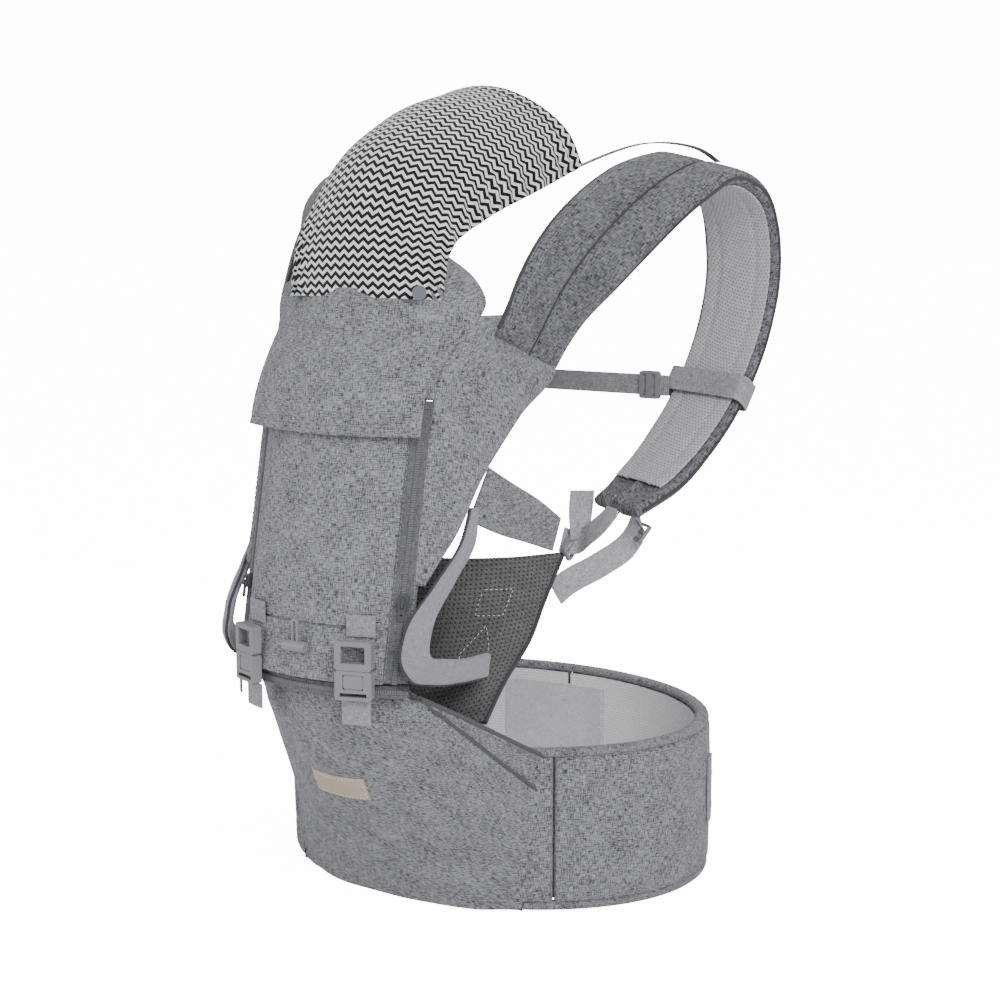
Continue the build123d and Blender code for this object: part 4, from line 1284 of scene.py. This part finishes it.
TAPE_TURN = 3.56
for name, side in both("side_zip"):
    turns = np.linspace(ZIP_TURN - TAPE_TURN - 0.7, ZIP_TURN + TAPE_TURN + 0.3, 7)
    rows = [[on_arc(panel_y(z), 0.2, side * a, z) for a in turns] for z in (481, 430, 370, 310, 250, 237)]
    tape = Sheet(grid_through(rows, 20, 160), (side * 0.5, -1, 0))
    cloth(name + "_tape", tape, 0.0013, "zip_tape", node="side_zips", pitch=0.003)
    path, _ = line(tape, ((0.0, 0.5), (1.0, 0.5)), 200, 0.0001)
    middle = math.radians(ZIP_TURN)
    coil(name + "_coil", path, np.array((side * math.sin(middle), -math.cos(middle), 0)))
    runs = [line(tape, ((0, u), (1, u))) for u in (0.12, 0.88)]
    dashes(name + "_stitching", runs, "thread", radius=0.0003)


# %% [markdown]
# The waist zip curves across the seat's top and lets the panel detach from the seat.

# %% Waist zip
def waist_row(z, radius=165):
    turns = np.radians(np.linspace(-36, 36, 25))
    return [(radius * math.sin(a), -132.5 - radius * math.cos(a), z) for a in turns]


waist_tape = Sheet(grid_through([waist_row(z) for z in (233.6, 228, 222.4)], 160, 10), FRONT)
cloth("waist_zip_tape", waist_tape, 0.0013, "zip_tape", node="waist_zip", pitch=0.003)
waist_path, _ = line(waist_tape, ((0.5, 0.0), (0.5, 1.0)), 300, 0.0001)
halves = (waist_path[:150], waist_path[149:])
for end_name, part_path in zip("ab", halves):
    coil("waist_zip_coil_" + end_name, part_path, np.array((-0.3 if end_name == "a" else 0.3, -1, 0)))

# %% [markdown]
# ## Adjusting straps
# Short webbings tie the shoulder straps to the wings through ladder locks, and a chest strap
# with a side release buckle joins the two shoulder straps behind.

# %% Webbing
TAIL = (
    ((128.6, -47, 338), (0.1, 1, 0), 23),
    ((129.4, -46, 354), (0.5, 0.85, 0), 23),
    ((127.6, -42, 370), (0.8, 0.6, 0), 23),
    ((128.5, -41, 384), (0.8, 0.6, 0), 23),
)
UPPER = (
    ((119, -62, 339), (0, 0.42, 0.91), 25),
    ((127, -50, 335), (-0.3, 0.5, 0.8), 25),
    ((148, -56, 347), (-0.4, 0.55, 0.73), 25),
    ((163, -55, 360), (-0.4, 0.55, 0.73), 25),
    ((171, -47, 374), (-0.4, 0.55, 0.73), 25),
)
LOWER = (
    ((117, -70, 288), (-0.35, -0.35, 0.87), 25),
    ((126, -62, 298), (-0.35, -0.35, 0.87), 25),
    ((148, -42, 314), (-0.35, -0.35, 0.87), 25),
    ((169, -20, 336), (-0.35, -0.35, 0.87), 25),
    ((176, -17, 352), (-0.35, -0.35, 0.87), 25),
    ((178, -22, 376), (0.1, 0.7, 0.7), 25),
)
for name, side in both("adjuster"):
    webbing_strip(name + "_tail", TAIL, (0.3, -1, 0.2), 0.0016, node="upper_webbings", mirror=side)
    webbing_strip(name + "_upper", UPPER, (0.2, -0.8, 0.5), 0.0018, mirror=side)
    webbing_strip(name + "_lower", LOWER, (0.8, -0.6, 0), 0.0018, node="lower_webbings", mirror=side)
for part in ("belt_tabs", "clip_tabs", "chest_loops", "chest_webbing_right", "chest_webbing_left"):
    node = frame["nodes"][part]
    node.data.materials.clear()
    node.data.materials.append(MATERIAL["webbing_dark"])


def wrap_uvs(node):
    """UVs in metres for a CAD strip: the two longest axes of its box, so its weave has a pitch."""
    mesh = node.data
    co = np.empty(len(mesh.vertices) * 3)
    mesh.vertices.foreach_get("co", co)
    co = co.reshape(-1, 3)
    centred = co - co.mean(0)
    _, _, axes = np.linalg.svd(centred[:: max(len(co) // 4000, 1)], full_matrices=False)
    uv = np.stack([centred @ axes[1], centred @ axes[0]], -1)
    layer = mesh.uv_layers.get("metres") or mesh.uv_layers.new(name="metres")
    loops = np.empty(len(mesh.loops), int)
    mesh.loops.foreach_get("vertex_index", loops)
    layer.data.foreach_set("uv", uv[loops].ravel())


for part in frame["record"]["subparts"]:
    node = frame["nodes"][part["node"]]
    if not node.hide_render and part["material_slot"] not in ("buckle_plastic", "snap_plastic", "zip_metal"):
        wrap_uvs(node)
        print("shown as built:", part["node"])

# %% [markdown]
# ## Studio
# A white room: one big pale floor, a large soft key from the front left, a fill from the right
# and a light from above, so the cloth keeps its soft shading.

# %% Floor, lights and camera
stage_verts = [(-30, -30, 0), (30, -30, 0), (30, 30, 0), (-30, 30, 0)]
ground = new_object("studio_floor", [(x, y, cad_low[2] - 0.0006) for x, y, z in stage_verts], [(0, 1, 2, 3)])
floor_material = bpy.data.materials.new("studio_white")
floor_material.use_nodes = True
floor_shader = floor_material.node_tree.nodes["Principled BSDF"]
floor_shader.inputs["Base Color"].default_value = (0.93, 0.93, 0.93, 1)
floor_shader.inputs["Roughness"].default_value = 0.9
floor_shader.inputs["Emission Color"].default_value = (1, 1, 1, 1)
floor_seen = floor_material.node_tree.nodes.new("ShaderNodeLightPath").outputs["Is Camera Ray"]
glow = maths(floor_material.node_tree, "MULTIPLY", floor_seen, 14.0)
wire(floor_material.node_tree, glow, floor_shader.inputs["Emission Strength"])
ground.data.materials.append(floor_material)

world = bpy.data.worlds.new("studio_world")
bpy.context.scene.world = world
world.use_nodes = True
SKY_LIGHT, SKY_SEEN = 0.5, 14.0
world.node_tree.nodes["Background"].inputs[0].default_value = (1, 1, 1, 1)
seen = world.node_tree.nodes.new("ShaderNodeLightPath").outputs["Is Camera Ray"]
brightness = maths(world.node_tree, "MULTIPLY_ADD", seen, SKY_SEEN - SKY_LIGHT, SKY_LIGHT)
wire(world.node_tree, brightness, world.node_tree.nodes["Background"].inputs[1])


def softbox(name, place_at, look_at, size, power):
    data = bpy.data.lights.new(name, "AREA")
    data.size = size
    data.energy = power
    lamp = bpy.data.objects.new(name, data)
    bpy.context.scene.collection.objects.link(lamp)
    lamp.location = place_at
    lamp.rotation_euler = (Vector(look_at) - Vector(place_at)).to_track_quat("-Z", "Y").to_euler()
    return lamp


AIM = (0, BELT_Y, 0.35)
softbox("key", (2.3, -1.5, 1.9), AIM, 1.3, 62)
softbox("fill", (-1.6, -2.2, 1.2), AIM, 1.6, 26)
softbox("top", (0.2, 0.9, 2.6), AIM, 1.6, 20)

SHIFT = np.array((0.809, 0.588, 0)) * 0.002 + np.array((0, 0, 0.009))
eye = np.array((1.1636, -1.54295, 0.6353)) + SHIFT
aim = np.array((0, BELT_Y, 0.35)) + SHIFT
camera_data = bpy.data.cameras.new("camera")
camera_data.lens = 72
camera_data.sensor_width = 36
camera = bpy.data.objects.new("camera", camera_data)
bpy.context.scene.collection.objects.link(camera)
camera.location = eye
camera.rotation_euler = (Vector(aim) - Vector(eye)).to_track_quat("-Z", "Y").to_euler()
bpy.context.scene.camera = camera
